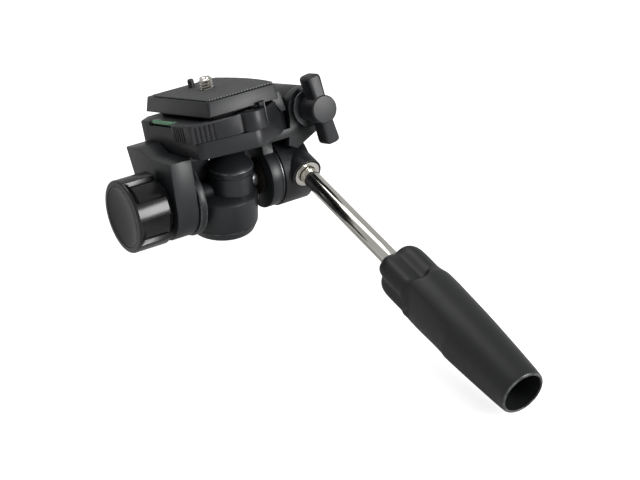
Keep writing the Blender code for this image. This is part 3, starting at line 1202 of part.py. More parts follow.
make_base(base)
make_pan_stack(base)
make_trunk(pan)
make_neck_cap(pan)
make_tilt_bearings(pan)
make_pan_knob(pan_lock)
make_brake_pad(pan_brake)
make_yoke(tilt)
make_handle_boss(tilt)
make_boss_hardware(tilt)
make_rod(handle)
make_grip(handle)
make_grip_hardware(handle)
make_hinge_hardware(tilt)
make_wing_knob(side_lock)
make_platform(side)
make_level(side)
make_lever_hardware(side)
make_lever(lever_pivot)
make_plate(release)
make_camera_screw(camera_turn)
make_video_pin(pin_press)
make_pin_spring(release)
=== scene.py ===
"""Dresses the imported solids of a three-way photo tripod head as the photograph shows it.

Every length is in metres, in the part's own frame: the origin is the middle of the base's underside, Z is
the pan axis and X is the tilt axis. Castings and mouldings keep the solids' shapes, with their edges
rounded; knob, grip, screws, springs, rubber and bright metal are modelled here.
"""
import logging
import math
from dataclasses import dataclass
from enum import Enum
from typing import Any, Callable, Iterable, Sequence

import bmesh
import bpy
from bmesh.types import BMesh, BMEdge, BMVert
from mathutils import Matrix, Vector


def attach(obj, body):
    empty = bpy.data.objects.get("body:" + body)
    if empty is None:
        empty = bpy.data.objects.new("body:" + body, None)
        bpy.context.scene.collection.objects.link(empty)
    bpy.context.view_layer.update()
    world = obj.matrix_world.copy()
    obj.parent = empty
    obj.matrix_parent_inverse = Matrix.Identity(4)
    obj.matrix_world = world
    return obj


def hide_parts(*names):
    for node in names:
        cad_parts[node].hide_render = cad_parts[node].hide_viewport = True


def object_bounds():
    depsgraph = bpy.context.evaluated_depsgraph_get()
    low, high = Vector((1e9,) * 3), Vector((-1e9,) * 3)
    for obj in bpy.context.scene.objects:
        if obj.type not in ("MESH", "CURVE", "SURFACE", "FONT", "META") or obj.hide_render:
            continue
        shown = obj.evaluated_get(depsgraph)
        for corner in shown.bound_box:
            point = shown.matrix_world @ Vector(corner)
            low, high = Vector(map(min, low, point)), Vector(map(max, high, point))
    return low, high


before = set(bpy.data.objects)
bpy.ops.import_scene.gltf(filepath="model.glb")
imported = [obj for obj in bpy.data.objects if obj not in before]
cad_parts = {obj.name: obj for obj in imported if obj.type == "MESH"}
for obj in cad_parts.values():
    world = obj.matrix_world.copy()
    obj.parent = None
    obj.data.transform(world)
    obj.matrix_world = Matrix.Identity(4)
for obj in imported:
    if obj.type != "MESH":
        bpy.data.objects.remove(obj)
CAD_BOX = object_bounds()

LOG = logging.getLogger("tripod_head")

QUARTER = math.radians(90)

# Where the joints stand, as in the solids
TILT_HEIGHT = 0.02035
TILT_ANGLE = math.radians(20.2)
HANDLE_X = 0.0347
HANDLE_RISE = 0.007
HANDLE_DROOP = math.radians(29.7)
HANDLE_TURN = QUARTER + HANDLE_DROOP - TILT_ANGLE


def turn(angle: float, axis: str) -> Matrix:
    """Rotation about one of the local axes."""
    return Matrix.Rotation(angle, 4, axis)


def shift(x: float, y: float, z: float) -> Matrix:
    """Translation."""
    return Matrix.Translation((x, y, z))


AXLE = shift(0, 0, TILT_HEIGHT) @ turn(QUARTER, "Y")
TILT = shift(0, 0, TILT_HEIGHT) @ turn(-TILT_ANGLE, "X")
HANDLE = shift(HANDLE_X, 0, TILT_HEIGHT + HANDLE_RISE) @ turn(HANDLE_TURN, "X")


class Body(Enum):
    """The moving bodies that pieces ride on."""

    BASE = "base"
    TRUNK = "trunk"
    PAN_LOCK = "pan_lock"
    YOKE = "yoke"
    HANDLE = "handle"
    SIDE_LOCK = "side_lock"
    PLATFORM = "platform"
    LEVER = "lever"
    PLATE = "plate"
    CAMERA_SCREW = "camera_screw"
    VIDEO_PIN = "video_pin"


class Slot(Enum):
    """The record's material slots."""

    CAST_BLACK = "cast_black"
    BLACK_ABS = "black_abs"
    GLOSS_BLACK = "gloss_black"
    GRIP_RUBBER = "grip_rubber"
    PAD_RUBBER = "pad_rubber"
    PLATED_STEEL = "plated_steel"
    BRIGHT_CHROME = "bright_chrome"
    BRASS = "brass"
    FIBRE = "fibre"
    VIAL_CLEAR = "vial_clear"
    LEVEL_GREEN = "level_green"


# Materials

# The sRGB curve: straight up to its knee, a power beyond it
SRGB_KNEE = 0.04045
SRGB_SLOPE = 12.92
SRGB_OFFSET = 0.055
SRGB_POWER = 2.4

# The Mix node's sockets: those of numbers and of colours share their names
MIX_SHARE = 0
MIX_NUMBERS = (2, 3)
MIX_COLOURS = (6, 7)
MIXED_NUMBER = 0
MIXED_COLOUR = 2


def linear(hex_colour: str) -> tuple[float, float, float, float]:
    """Turn an sRGB hex colour to linear values.

    Args:
        hex_colour: Six hex digits.

    Returns:
        Linear red, green and blue, and an alpha of 1.
    """
    values = [int(hex_colour[i:i + 2], 16) / 255 for i in (0, 2, 4)]
    red, green, blue = (v / SRGB_SLOPE if v <= SRGB_KNEE
                        else ((v + SRGB_OFFSET) / (1 + SRGB_OFFSET)) ** SRGB_POWER for v in values)
    return red, green, blue, 1.0


def add_node(tree: bpy.types.NodeTree, kind: str, links: dict[Any, Any] | None = None,
             **settings: Any) -> Any:
    """Add a node with its settings and links.

    Args:
        tree: The material's node tree.
        kind: Blender's name of the node type, without its ShaderNode prefix.
        links: What feeds each input: an output socket, or a plain value.
        settings: The node's own properties.

    Returns:
        The new node.
    """
    node = tree.nodes.new("ShaderNode" + kind)
    for name, value in settings.items():
        setattr(node, name, value)
    for name, source in (links or {}).items():
        if isinstance(source, bpy.types.NodeSocket):
            tree.links.new(source, node.inputs[name])
        else:
            node.inputs[name].default_value = source
    return node


def mix_colours(tree: bpy.types.NodeTree, share: Any, first: Any, second: Any) -> Any:
    """Return the socket with a mix of two colours; at a share of 1 it is the second."""
    low, high = MIX_COLOURS
    node = add_node(tree, "Mix", {low: first, high: second, MIX_SHARE: share}, data_type="RGBA")
    return node.outputs[MIXED_COLOUR]


def mix_numbers(tree: bpy.types.NodeTree, share: Any, first: Any, second: Any) -> Any:
    """Return the socket with a mix of two numbers; at a share of 1 it is the second."""
    low, high = MIX_NUMBERS
    return add_node(tree, "Mix", {low: first, high: second, MIX_SHARE: share}).outputs[MIXED_NUMBER]


def calculate(tree: bpy.types.NodeTree, operation: str, first: Any, second: Any) -> Any:
    """Return the socket with the result of a Math node."""
    return add_node(tree, "Math", {0: first, 1: second}, operation=operation).outputs[0]


def remap(tree: bpy.types.NodeTree, value: Any, low: float, high: float,
          span: tuple[float, float] = (0.0, 1.0)) -> Any:
    """Return the socket with a value's place in its span, carried over to low and high."""
    node = add_node(tree, "MapRange", {"Value": value, "From Min": span[0], "From Max": span[1],
                                       "To Min": low, "To Max": high})
    return node.outputs["Result"]


@dataclass(frozen=True)
class Noise:
    """Cloudy marks in space.

    Attributes:
        size: Size of the largest marks, metres.
        detail: How many times finer marks are laid over them.
        strength: How strong each finer set is against the one before.
    """

    size: float
    detail: float
    strength: float = 0.5

    def height(self, tree: bpy.types.NodeTree, place: Any) -> Any:
        """Return the socket with the noise, 0 to 1."""
        node = add_node(tree, "TexNoise", {"Vector": place, "Scale": 1 / self.size, "Detail": self.detail,
                                           "Roughness": self.strength})
        return node.outputs["Fac"]


HANDLED = 0.011              # size of the faint marks of handling
HANDLING = Noise(HANDLED, 4.0)
TONE_SPREAD = 0.14           # how far handling changes the tone, as a share
DRIFT = Noise(HANDLED, 3.0, 0.6)
DRIFT_SPREAD = 0.15          # how far it changes the roughness, as a share
# Rounded edges are painted lighter: partly wear, partly a painted highlight where they would catch the light
EDGE_WEAR_AND_HIGHLIGHT = "edge_wear_and_highlight"      # face attribute: 1 on rounded edges
PATCHES = Noise(0.0035, 5.0)
PATCH_SPAN = (0.35, 0.65)    # the lighter edge colour, wear and painted highlight, is absent below this span of the patches and whole above it
POLISH = 0.55                # a worn edge's roughness against the surface's
# Painted shade in crevices: where pieces stand close, the sheen is turned down as if shade fell there
CREVICE = 0.014              # how far apart two pieces still hide each other
OPEN_SPAN = (0.2, 0.8)       # openness at which the sheen starts to show, and at which it is whole
SHADED_CREVICE_SHEEN = 0.1          # share of the sheen that is left in a crevice
CREVICE_RAYS = 8
GRAIN_DETAIL = 2.0
LINE_DETAIL = 3.0


@dataclass(frozen=True)
class Finish:
    """A surface: what it is made of, and how it was made.

    Attributes:
        name: The material's common name.
        slot: The record's slot that it stands for; not used.
        colour: sRGB hex.
        roughness: Mean roughness.
        grain: Size of the surface's grain, metres.
        grain_depth: Height of the grain, metres.
        worn_and_lit: sRGB hex of the rounded edges: wear that hands polish, and a painted highlight.
        wear_and_highlight: How much of that shows, from 0 to 1.
        specular: Strength of the sheen; 0.5 for a plain plastic.
        metallic: 1 for bare metal.
    """

    name: str
    slot: Slot
    colour: str
    roughness: float
    grain: float = 0.0004
    grain_depth: float = 0.00001
    # Lighter edge colour: wear, and a painted highlight
    worn_and_lit: str = "6a6c6e"
    wear_and_highlight: float = 0.0
    specular: float = 0.5
    metallic: float = 0.0

    def material(self) -> bpy.types.Material:
        """Return this finish's material, made on its first use."""
        return bpy.data.materials.get(self.name) or self._made()

    def _made(self) -> bpy.types.Material:
        """Make the material."""
        material = bpy.data.materials.new(self.name)
        material.use_nodes = True
        tree = material.node_tree
        shader = tree.nodes["Principled BSDF"]
        shader.inputs["Metallic"].default_value = self.metallic
        shader.inputs["Specular IOR Level"].default_value = self.specular
        place = add_node(tree, "TexCoord").outputs["Object"]
        self._dress(tree, shader, place)
        return material

    def _dress(self, tree: bpy.types.NodeTree, shader: Any, place: Any) -> None:
        """Link colour, roughness and bump to the shader.

        Args:
            tree: The material's node tree.
            shader: Its Principled shader.
            place: Object coordinates.
        """
        self._tint(tree, shader, place)
        self._roughen(tree, shader, place)
        self._bump(tree, shader, self._grain(tree, place), self.grain_depth)
        # Painted shade: all but bare metal lose their sheen in crevices
        if not self.metallic:
            self._paint_crevice_shade(tree, shader)

    def _paint_crevice_shade(self, tree: bpy.types.NodeTree, shader: Any) -> None:
        """Paint shade into crevices: turn the sheen down where pieces stand close together."""
        openness = add_node(tree, "AmbientOcclusion", {"Distance": CREVICE}, samples=CREVICE_RAYS)
        shaded_sheen = remap(tree, openness.outputs["AO"], self.specular * SHADED_CREVICE_SHEEN, self.specular, OPEN_SPAN)
        tree.links.new(shaded_sheen, shader.inputs["Specular IOR Level"])

    def _tint(self, tree: bpy.types.NodeTree, shader: Any, place: Any) -> None:
        """Colour with faint handling marks, and lighter on rounded edges: wear, and a painted highlight."""
        base = Vector(linear(self.colour)[:3])
        dark, light = ((*(base * share), 1) for share in (1 - TONE_SPREAD, 1 + TONE_SPREAD))
        tone = mix_colours(tree, HANDLING.height(tree, place), dark, light)
        # Painted highlight and wear: rounded edges are mixed towards the lighter colour, in patches
        edge = add_node(tree, "Attribute", attribute_name=EDGE_WEAR_AND_HIGHLIGHT)
        edge_blend = remap(tree, PATCHES.height(tree, place), 0.0, self.wear_and_highlight, PATCH_SPAN)
        worn_and_lit = calculate(tree, "MULTIPLY", edge.outputs["Fac"], edge_blend)
        tree.links.new(mix_colours(tree, worn_and_lit, tone, linear(self.worn_and_lit)), shader.inputs["Base Color"])

    def _roughen(self, tree: bpy.types.NodeTree, shader: Any, place: Any) -> None:
        """Roughness that drifts, as on handled surfaces, and is lower on worn edges."""
        drift = remap(tree, DRIFT.height(tree, place), self.roughness * (1 - DRIFT_SPREAD),
                      min(self.roughness * (1 + DRIFT_SPREAD), 1.0))
        edge = add_node(tree, "Attribute", attribute_name=EDGE_WEAR_AND_HIGHLIGHT)
        edge_blend = mix_numbers(tree, edge.outputs["Fac"], drift, self.roughness * POLISH)
        tree.links.new(edge_blend, shader.inputs["Roughness"])

    def _grain(self, tree: bpy.types.NodeTree, place: Any) -> Any:
        """Return the socket with the grain's height, 0 to 1."""
        return Noise(self.grain, GRAIN_DETAIL).height(tree, place)

    def _bump(self, tree: bpy.types.NodeTree, shader: Any, height: Any, depth: float) -> None:
        """Let a height shade the surface."""
        bump = add_node(tree, "Bump", {"Height": height, "Distance": depth, "Strength": 1.0})
        tree.links.new(bump.outputs["Normal"], shader.inputs["Normal"])


@dataclass(frozen=True)
class DiamondRubber(Finish):
    """Rubber moulded with a fine diamond tread, laid out in the platform's plane.

    Attributes:
        pitch: From one ridge to the next along x, metres.
        crest: sRGB hex painted on the ridges' crests, a painted highlight.
    """

    pitch: float = 0.0015
    crest: str = "9a9b9c"

    def _tint(self, tree: bpy.types.NodeTree, shader: Any, place: Any) -> None:
        """Painted highlight on the crests over dark grooves."""
        tone = mix_colours(tree, self._grain(tree, place), linear(self.colour), linear(self.crest))
        tree.links.new(tone, shader.inputs["Base Color"])

    def _grain(self, tree: bpy.types.NodeTree, place: Any) -> Any:
        """Return the tread's height: two sets of diagonal ridges."""
        level = add_node(tree, "Mapping", {"Vector": place, "Rotation": (TILT_ANGLE, 0.0, 0.0)})
        axes = add_node(tree, "SeparateXYZ", {"Vector": level.outputs[0]})
        ridges = []
        for operation in ("ADD", "SUBTRACT"):
            along = calculate(tree, operation, axes.outputs["X"], axes.outputs["Y"])
            ridges.append(calculate(tree, "PINGPONG", along, self.pitch / 2))
        return calculate(tree, "MULTIPLY", calculate(tree, "MINIMUM", *ridges), 2 / self.pitch)


@dataclass(frozen=True)
class BrightMetal(Finish):
    """Polished or plated metal with the fine lines of its drawing or turning.

    Attributes:
        stretch: How close the lines lie along each axis.
        rotation: How those axes are turned from the part's.
    """

    stretch: tuple[float, float, float] = (1.0, 1.0, 1.0)
    rotation: tuple[float, float, float] = (0.0, 0.0, 0.0)

    def _grain(self, tree: bpy.types.NodeTree, place: Any) -> Any:
        """Return the height of the lines left by drawing and polishing."""
        lines = add_node(tree, "Mapping", {"Vector": place, "Rotation": self.rotation, "Scale": self.stretch})
        return Noise(self.grain, LINE_DETAIL).height(tree, lines.outputs[0])


@dataclass(frozen=True)
class ClearPlastic(Finish):
    """Clear or tinted plastic or liquid that light goes through.

    Attributes:
        transmission: Share of the light that goes through.
        ior: Index of refraction.
    """

    transmission: float = 1.0
    ior: float = 1.49

    def _dress(self, tree: bpy.types.NodeTree, shader: Any, place: Any) -> None:
        """Set the clear shader, with faint moulding ripples."""
        shader.inputs["Transmission Weight"].default_value = self.transmission
        shader.inputs["IOR"].default_value = self.ior
        shader.inputs["Base Color"].default_value = linear(self.colour)
        self._roughen(tree, shader, place)
        self._bump(tree, shader, self._grain(tree, place), self.grain_depth)


# Die-cast zinc alloy, painted black: a satin coat with a faint orange peel; its edges are painted lighter, as
# wear and a painted highlight.
PAINTED_CASTING = Finish("painted_die_casting", Slot.CAST_BLACK, "212325", roughness=0.38, grain=0.0009,
                         grain_depth=0.000012, worn_and_lit="8e9194", wear_and_highlight=0.45)
# Glass-filled ABS, spark-eroded mould: fine even grain, soft grey sheen, edges polished by use and painted
# lighter, as wear and a painted highlight.
MOULDED_ABS = Finish("grained_abs", Slot.BLACK_ABS, "202124", roughness=0.42, grain=0.0004,
                     grain_depth=0.000012, worn_and_lit="9b9ea1", wear_and_highlight=0.5)
# Smooth moulded ABS of the knob: bright, clean reflections.
GLOSS_ABS = Finish("polished_abs", Slot.GLOSS_BLACK, "101012", roughness=0.2, grain=0.002,
                   grain_depth=0.000006, worn_and_lit="85878a", wear_and_highlight=0.15)
# Soft-touch rubber of the grip: dark, with a wide dull highlight; its rim is painted lighter, as wear and a
# painted highlight.
SOFT_RUBBER = Finish("soft_touch_rubber", Slot.GRIP_RUBBER, "151617", roughness=0.46, grain=0.00045,
                     grain_depth=0.00002, worn_and_lit="7c7e80", wear_and_highlight=0.6)
# Nitrile rubber with a diamond tread: matt, with a painted highlight on its crests. It is drawn a third
# coarser than such treads are, so that it shows.
TREAD_RUBBER = DiamondRubber("diamond_tread_rubber", Slot.PAD_RUBBER, "060607", roughness=0.6,
                             grain_depth=0.0003, specular=0.3)
# Zinc-plated steel: pale grey, a little dull.
ZINC_STEEL = BrightMetal("zinc_plated_steel", Slot.PLATED_STEEL, "b9bbbd", roughness=0.34, grain=0.0006,
                         grain_depth=0.000004, metallic=1.0)
# Blackened steel of the boss's ring and the hinge's washer: dark grey, still metallic.
BLACK_STEEL = BrightMetal("blackened_steel", Slot.PLATED_STEEL, "5c5e60", roughness=0.3, grain=0.0006,
                          grain_depth=0.000004, metallic=0.9)
# Chromium plate over drawn steel tube: a near mirror with faint lines along it.
CHROME = BrightMetal("drawn_chrome", Slot.BRIGHT_CHROME, "d9d6cf", roughness=0.1, grain=0.0005,
                     grain_depth=0.000002, metallic=1.0, stretch=(1.0, 1.0, 0.03),
                     rotation=(-HANDLE_TURN, 0.0, 0.0))
# Turned brass of the inserts: yellow, with turning marks.
TURNED_BRASS = BrightMetal("turned_brass", Slot.BRASS, "c9a45c", roughness=0.28, grain=0.0004,
                           grain_depth=0.000005, metallic=1.0)
# Pressed fibre: dry, brown-grey, flecked.
PRESSED_FIBRE = Finish("pressed_fibre", Slot.FIBRE, "26221e", roughness=0.85, grain=0.0005,
                       grain_depth=0.00003)
# Clear acrylic tube of the level.
CLEAR_ACRYLIC = ClearPlastic("clear_acrylic", Slot.VIAL_CLEAR, "c9f2dc", roughness=0.12, grain=0.002,
                             grain_depth=0.000002, specular=0.1)
# Dyed spirit of the level: a vivid green that little light goes through.
GREEN_SPIRIT = ClearPlastic("dyed_spirit", Slot.LEVEL_GREEN, "17b565", roughness=0.3, grain=0.002,
                            grain_depth=0.000001, specular=0.2, transmission=0.1)


# Shapes

MERGE = 0.000001             # points closer than this are one
SOLID_MERGE = 0.000002       # the same in a solid's mesh
SAME_PLANE = math.radians(0.6)   # facets that turn less than this become one face
SHARP = math.radians(32)     # edges that turn more than this are rounded
EDGE_FACETS = 2              # facets across a rounded edge
EDGE_ROUND = 0.5             # the bevel's profile: a circle's
WIRE_FACETS = 8              # facets round a wire
COIL_FACETS = 28             # facets along one turn of a coil
THREAD_FACETS = 40           # facets along one turn of a thread
THREAD_CREST = (0.45, 0.55)  # where a thread's flat crest starts and ends, as shares of its pitch


def eased(share: float) -> float:
    """Ease a share in and out, held between 0 and 1."""
    share = min(max(share, 0), 1)
    return share * share * (3 - 2 * share)


def quarter_turn(steps: int, first: int = 0) -> list[tuple[float, float]]:
    """Walk a quarter circle.

    Args:
        steps: Steps that it is walked in.
        first: Step that the walk starts with.

    Returns:
        The cosine and sine at each step.
    """
    angles = [QUARTER * index / steps for index in range(first, steps + 1)]
    return [(math.cos(angle), math.sin(angle)) for angle in angles]


def turned(profile: Sequence[tuple[float, float]], sides: int = 96) -> BMesh:
    """Turn a profile about local z.

    Args:
        profile: (radius, height) points; a profile off the axis at both ends is closed as a ring.
        sides: Steps round the axis.

    Returns:
        The turned solid.
    """
    bm = bmesh.new()
    points = [bm.verts.new((radius, 0, height)) for radius, height in profile]
    for near, far in zip(points, points[1:]):
        bm.edges.new((near, far))
    if profile[0][0] > 0 and profile[-1][0] > 0:
        bm.edges.new((points[-1], points[0]))
    bmesh.ops.spin(bm, geom=bm.verts[:] + bm.edges[:], cent=(0, 0, 0), axis=(0, 0, 1), angle=math.tau,
                   steps=sides, use_merge=True)
    return sealed(bm)


def sealed(bm: BMesh) -> BMesh:
    """Merge a mesh's doubled points and turn its faces outwards."""
    bmesh.ops.remove_doubles(bm, verts=bm.verts, dist=MERGE)
    bmesh.ops.recalc_face_normals(bm, faces=bm.faces)
    return bm


def lofted(heights: Sequence[float], radius: Callable[[int, float], float], sides: int) -> BMesh:
    """Grow a ring from station to station along local z.

    Args:
        heights: Height of each station.
        radius: Gives the radius at a station's index and an angle.
        sides: Points round each ring.

    Returns:
        The open skin; the caller closes its ends.
    """
    bm = bmesh.new()
    rim = bmesh.ops.create_circle(bm, cap_ends=False, radius=1, segments=sides)["verts"]
    edges = bm.edges[:]
    for station, height in enumerate(heights):
        if station:
            grown = bmesh.ops.extrude_edge_only(bm, edges=edges)["geom"]
            rim = [item for item in grown if isinstance(item, BMVert)]
            fresh = set(rim)
            edges = [item for item in grown if isinstance(item, BMEdge) and set(item.verts) <= fresh]
        for vert in rim:
            angle = math.atan2(vert.co.y, vert.co.x)
            reach = radius(station, angle)
            vert.co = (reach * math.cos(angle), reach * math.sin(angle), height)
    return bm


def wound(bm: BMesh, pitch: float, turns: float, steps: int) -> BMesh:
    """Wind a mesh's one face round local z.

    Args:
        bm: The mesh with the face, which is used up.
        pitch: Rise of one turn.
        turns: How many turns.
        steps: Steps of the whole way.

    Returns:
        The wound solid, closed at its ends.
    """
    bmesh.ops.spin(bm, geom=bm.faces[:], cent=(0, 0, 0), axis=(0, 0, 1), dvec=(0, 0, pitch * turns / steps),
                   angle=math.tau * turns, steps=steps)
    return sealed(bm)


def helix(coil_radius: float, wire_radius: float, low: float, pitch: float, turns: float) -> BMesh:
    """Wind round wire into a coil about local z.

    Args:
        coil_radius: From the axis to the wire's middle.
        wire_radius: Radius of the wire.
        low: Height of the first turn's middle.
        pitch: Rise of one turn.
        turns: How many turns.

    Returns:
        The coil, closed at its ends.
    """
    bm = bmesh.new()
    bmesh.ops.create_circle(bm, cap_ends=True, radius=wire_radius, segments=WIRE_FACETS)
    bmesh.ops.rotate(bm, verts=bm.verts, cent=(0, 0, 0), matrix=Matrix.Rotation(QUARTER, 3, "X"))
    bmesh.ops.translate(bm, verts=bm.verts, vec=(coil_radius, 0, low))
    return wound(bm, pitch, turns, int(turns * COIL_FACETS))


def threaded(core: float, crest: float, low: float, pitch: float, turns: int) -> BMesh:
    """Wind a V thread's ridge round local z.

    Args:
        core: Radius at the thread's root.
        crest: Radius at its crest.
        low: Height where it starts.
        pitch: Rise of one turn.
        turns: Whole turns, counted without the run-out of one pitch.

    Returns:
        The ridge, closed on all sides.
    """
    bm = bmesh.new()
    points = [(core, 0), *((crest, pitch * share) for share in THREAD_CREST), (core, pitch)]
    verts = [bm.verts.new((radius, 0, low + height)) for radius, height in points]
    bm.faces.new(verts)
    return wound(bm, pitch, turns, turns * THREAD_FACETS)


def refined(node: str, rounding: float) -> BMesh:
    """Copy a solid's mesh and round its sharp edges.

    Args:
        node: The solid's name.
        rounding: Width of the rounding, metres; 0 for none.

    Returns:
        The merged copy, with its rounded edges marked for the lighter edge colour: wear and a painted
        highlight.
    """
    bm = bmesh.new()
    bm.from_mesh(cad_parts[node].data)
    bmesh.ops.remove_doubles(bm, verts=bm.verts, dist=SOLID_MERGE)
    bmesh.ops.dissolve_limit(bm, angle_limit=SAME_PLANE, verts=bm.verts, edges=bm.edges)
    if rounding:
        # Marks the rounded edges for the lighter colour: wear and a painted highlight
        layer = bm.faces.layers.float.new(EDGE_WEAR_AND_HIGHLIGHT)
        edges = [e for e in bm.edges if len(e.link_faces) == 2 and e.calc_face_angle(0.0) > SHARP]
        made = bmesh.ops.bevel(bm, geom=edges, offset=rounding, offset_type="OFFSET", segments=EDGE_FACETS,
                               profile=EDGE_ROUND, affect="EDGES", clamp_overlap=True, material=-1,
                               loop_slide=True)
        for face in made["faces"]:
            face[layer] = 1.0
    return bm


def present(name: str, bm: BMesh, body: Body, finish: Finish, nodes: Iterable[str] = (),
            place: Matrix | None = None, smooth: float = 30.0) -> None:
    """Turn a finished mesh into a piece on its body.

    Args:
        name: The piece's name.
        bm: Its mesh, which is used up.
        body: What it rides on.
        finish: Its surface.
        nodes: The solids that it stands for.
        place: Where its local frame stands.
        smooth: Edges that turn less than this many degrees are shaded smooth.
    """
    if place:
        bm.transform(place)
    mesh = bpy.data.meshes.new(name)
    bm.to_mesh(mesh)
    bm.free()
    mesh.shade_smooth()
    mesh.set_sharp_from_angle(angle=math.radians(smooth))
    mesh.materials.append(finish.material())
    piece = bpy.data.objects.new(name, mesh)
    bpy.context.scene.collection.objects.link(piece)
    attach(piece, body.value)
    if nodes:
        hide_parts(*nodes)
    LOG.info("%s: %d faces on %s", name, len(mesh.polygons), body.value)


def dress(node: str, finish: Finish) -> None:
    """Give a solid that keeps its own mesh its finish."""
    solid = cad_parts[node]
    solid.data.materials.clear()
    solid.data.materials.append(finish.material())
    LOG.info("%s keeps its mesh", node)


def reface(node: str, body: Body, finish: Finish, rounding: float = 0.0) -> None:
    """Stand a copy of a solid in its place, with rounded edges unless the rounding is 0."""
    present(node + "_finished", refined(node, rounding), body, finish, [node])


# Sub-assemblies

@dataclass
class PanBase:
    """Round foot with its insert, and the washers and nut on the spindle."""

    edge: float = 0.0003
    insert_edge: float = 0.00015
    washer_edge: float = 0.0001

    def build(self) -> None:
        """Build the foot and its hardware."""
        reface("base_flange", Body.BASE, PAINTED_CASTING, self.edge)
        reface("tripod_insert", Body.BASE, TURNED_BRASS, self.insert_edge)
        for node in ("pan_washer", "pan_spring_washer", "pan_nut"):
            reface(node, Body.BASE, ZINC_STEEL, self.washer_edge)


@dataclass
class Trunk:
    """Panning cup with its neck, cap and tilt bearings."""

    edge: float = 0.0003
    disc_edge: float = 0.00045
    axle_edge: float = 0.00015

    def build(self) -> None:
        """Build the cup, its cap and the bearing pieces."""
        reface("trunk", Body.TRUNK, PAINTED_CASTING, self.edge)
        reface("neck_cap", Body.TRUNK, PAINTED_CASTING, self.edge)
        reface("friction_disc", Body.TRUNK, PAINTED_CASTING, self.disc_edge)
        reface("trunnion_nut", Body.TRUNK, PAINTED_CASTING, self.edge)
        reface("thrust_washer", Body.TRUNK, PRESSED_FIBRE)
        reface("stub_axle", Body.TRUNK, ZINC_STEEL, self.axle_edge)
        reface("axle_screw", Body.TRUNK, ZINC_STEEL, self.axle_edge)
        dress("brake_pad", PRESSED_FIBRE)


@dataclass
class PanKnob:
    """Five-lobed knob, its recesses sloped towards the base, with a dished end."""

    lobes: int = 5
    lobe_share: float = 0.43         # of a lobe's pitch, the part that stands proud
    lobe_angle: float = math.radians(240)
    radius: float = 0.0168
    recess_radius: float = 0.0149
    inner_x: float = -0.0351
    outer_x: float = -0.05125
    rim_length: float = 0.0011
    ramp_length: float = 0.0027      # the slope from a recess up to the rim
    rounding: float = 0.0009
    rounding_steps: int = 5
    back_rounding: float = 0.00054   # of the edge towards the arm
    back_steps: int = 4
    lip: float = 0.0001
    well_radius: float = 0.0142
    well_depth: float = 0.0026
    bore: float = 0.0033
    cap_radius: float = 0.01412
    cap_edge: float = 0.0001
    cap_set: float = 0.0002
    cap_gap: float = 0.0001
    cap_sides: int = 128
    cap_smooth: float = 50.0
    bowl_depth: float = 0.0022
    bowl_share: float = 0.95         # the bowl's radius against the cap's
    bowl_fullness: float = 0.8       # a power: the smaller, the steeper the bowl's edge
    bowl_rings: tuple[float, ...] = (0.95, 0.935, 0.91, 0.88, 0.84, 0.78, 0.7, 0.6, 0.48, 0.34, 0.18)
    screw_edge: float = 0.0002
    flank: float = math.radians(1.6)     # half the angle that a lobe's side takes
    sides: int = 300

    def build(self) -> None:
        """Build the knob's shell, its end and its screw."""
        present("pan_knob_shell", self._shell(), Body.PAN_LOCK, GLOSS_ABS, ["pan_knob"], AXLE)
        present("pan_knob_end", self._end(), Body.PAN_LOCK, GLOSS_ABS, ["pan_knob_cap"], AXLE,
                self.cap_smooth)
        reface("pan_knob_screw", Body.PAN_LOCK, ZINC_STEEL, self.screw_edge)

    def _proud(self, angle: float) -> float:
        """Return 1 on a lobe and 0 in a recess, with rounded flanks between."""
        pitch = math.tau / self.lobes
        off = abs(math.remainder(angle - self.lobe_angle, pitch))
        half = pitch * self.lobe_share / 2
        return eased((half + self.flank - off) / (2 * self.flank))

    def _shell(self) -> BMesh:
        """Return the lobed shell, hollowed for its end cap and bored for its screw."""
        rim_end = self.outer_x + self.rim_length
        foot = rim_end + self.ramp_length
        well_floor = self.outer_x + self.well_depth
        steps: list[tuple[float, float, float]] = [(self.inner_x, self.bore, 0)]
        inner, outer = self.back_rounding, self.rounding
        steps += [(self.inner_x - inner * (1 - cos), self.radius - inner * (1 - sin), 1)
                  for cos, sin in quarter_turn(self.back_steps)]
        steps += [(foot, self.radius, 1), (rim_end, self.radius, 0)]
        steps += [(self.outer_x + outer * (1 - sin), self.radius - outer * (1 - cos), 0)
                  for cos, sin in quarter_turn(self.rounding_steps)]
        steps += [(self.outer_x, self.well_radius + self.lip, 0),
                  (self.outer_x + self.lip, self.well_radius, 0), (well_floor, self.well_radius, 0),
                  (well_floor, self.bore, 0), (self.inner_x, self.bore, 0)]
        depth = self.radius - self.recess_radius

        def radius(station: int, angle: float) -> float:
            _, reach, recessed = steps[station]
            return reach - depth * recessed * (1 - self._proud(angle))

        return sealed(lofted([step[0] for step in steps], radius, self.sides))

    def _end(self) -> BMesh:
        """Return the dished end: a narrow rim, then a round bowl."""
        back = self.outer_x + self.well_depth - self.cap_gap
        front = self.outer_x + self.cap_set
        rim = self.cap_radius

        def sunk(ring: float) -> float:
            return self.bowl_depth * (1 - (ring / self.bowl_share) ** 2) ** self.bowl_fullness

        bowl = [(rim * ring, front + sunk(ring)) for ring in self.bowl_rings]
        return turned([(0, back), (rim, back), (rim, front + self.cap_edge), (rim - self.cap_edge, front),
                       *bowl, (0, front + self.bowl_depth)], self.cap_sides)


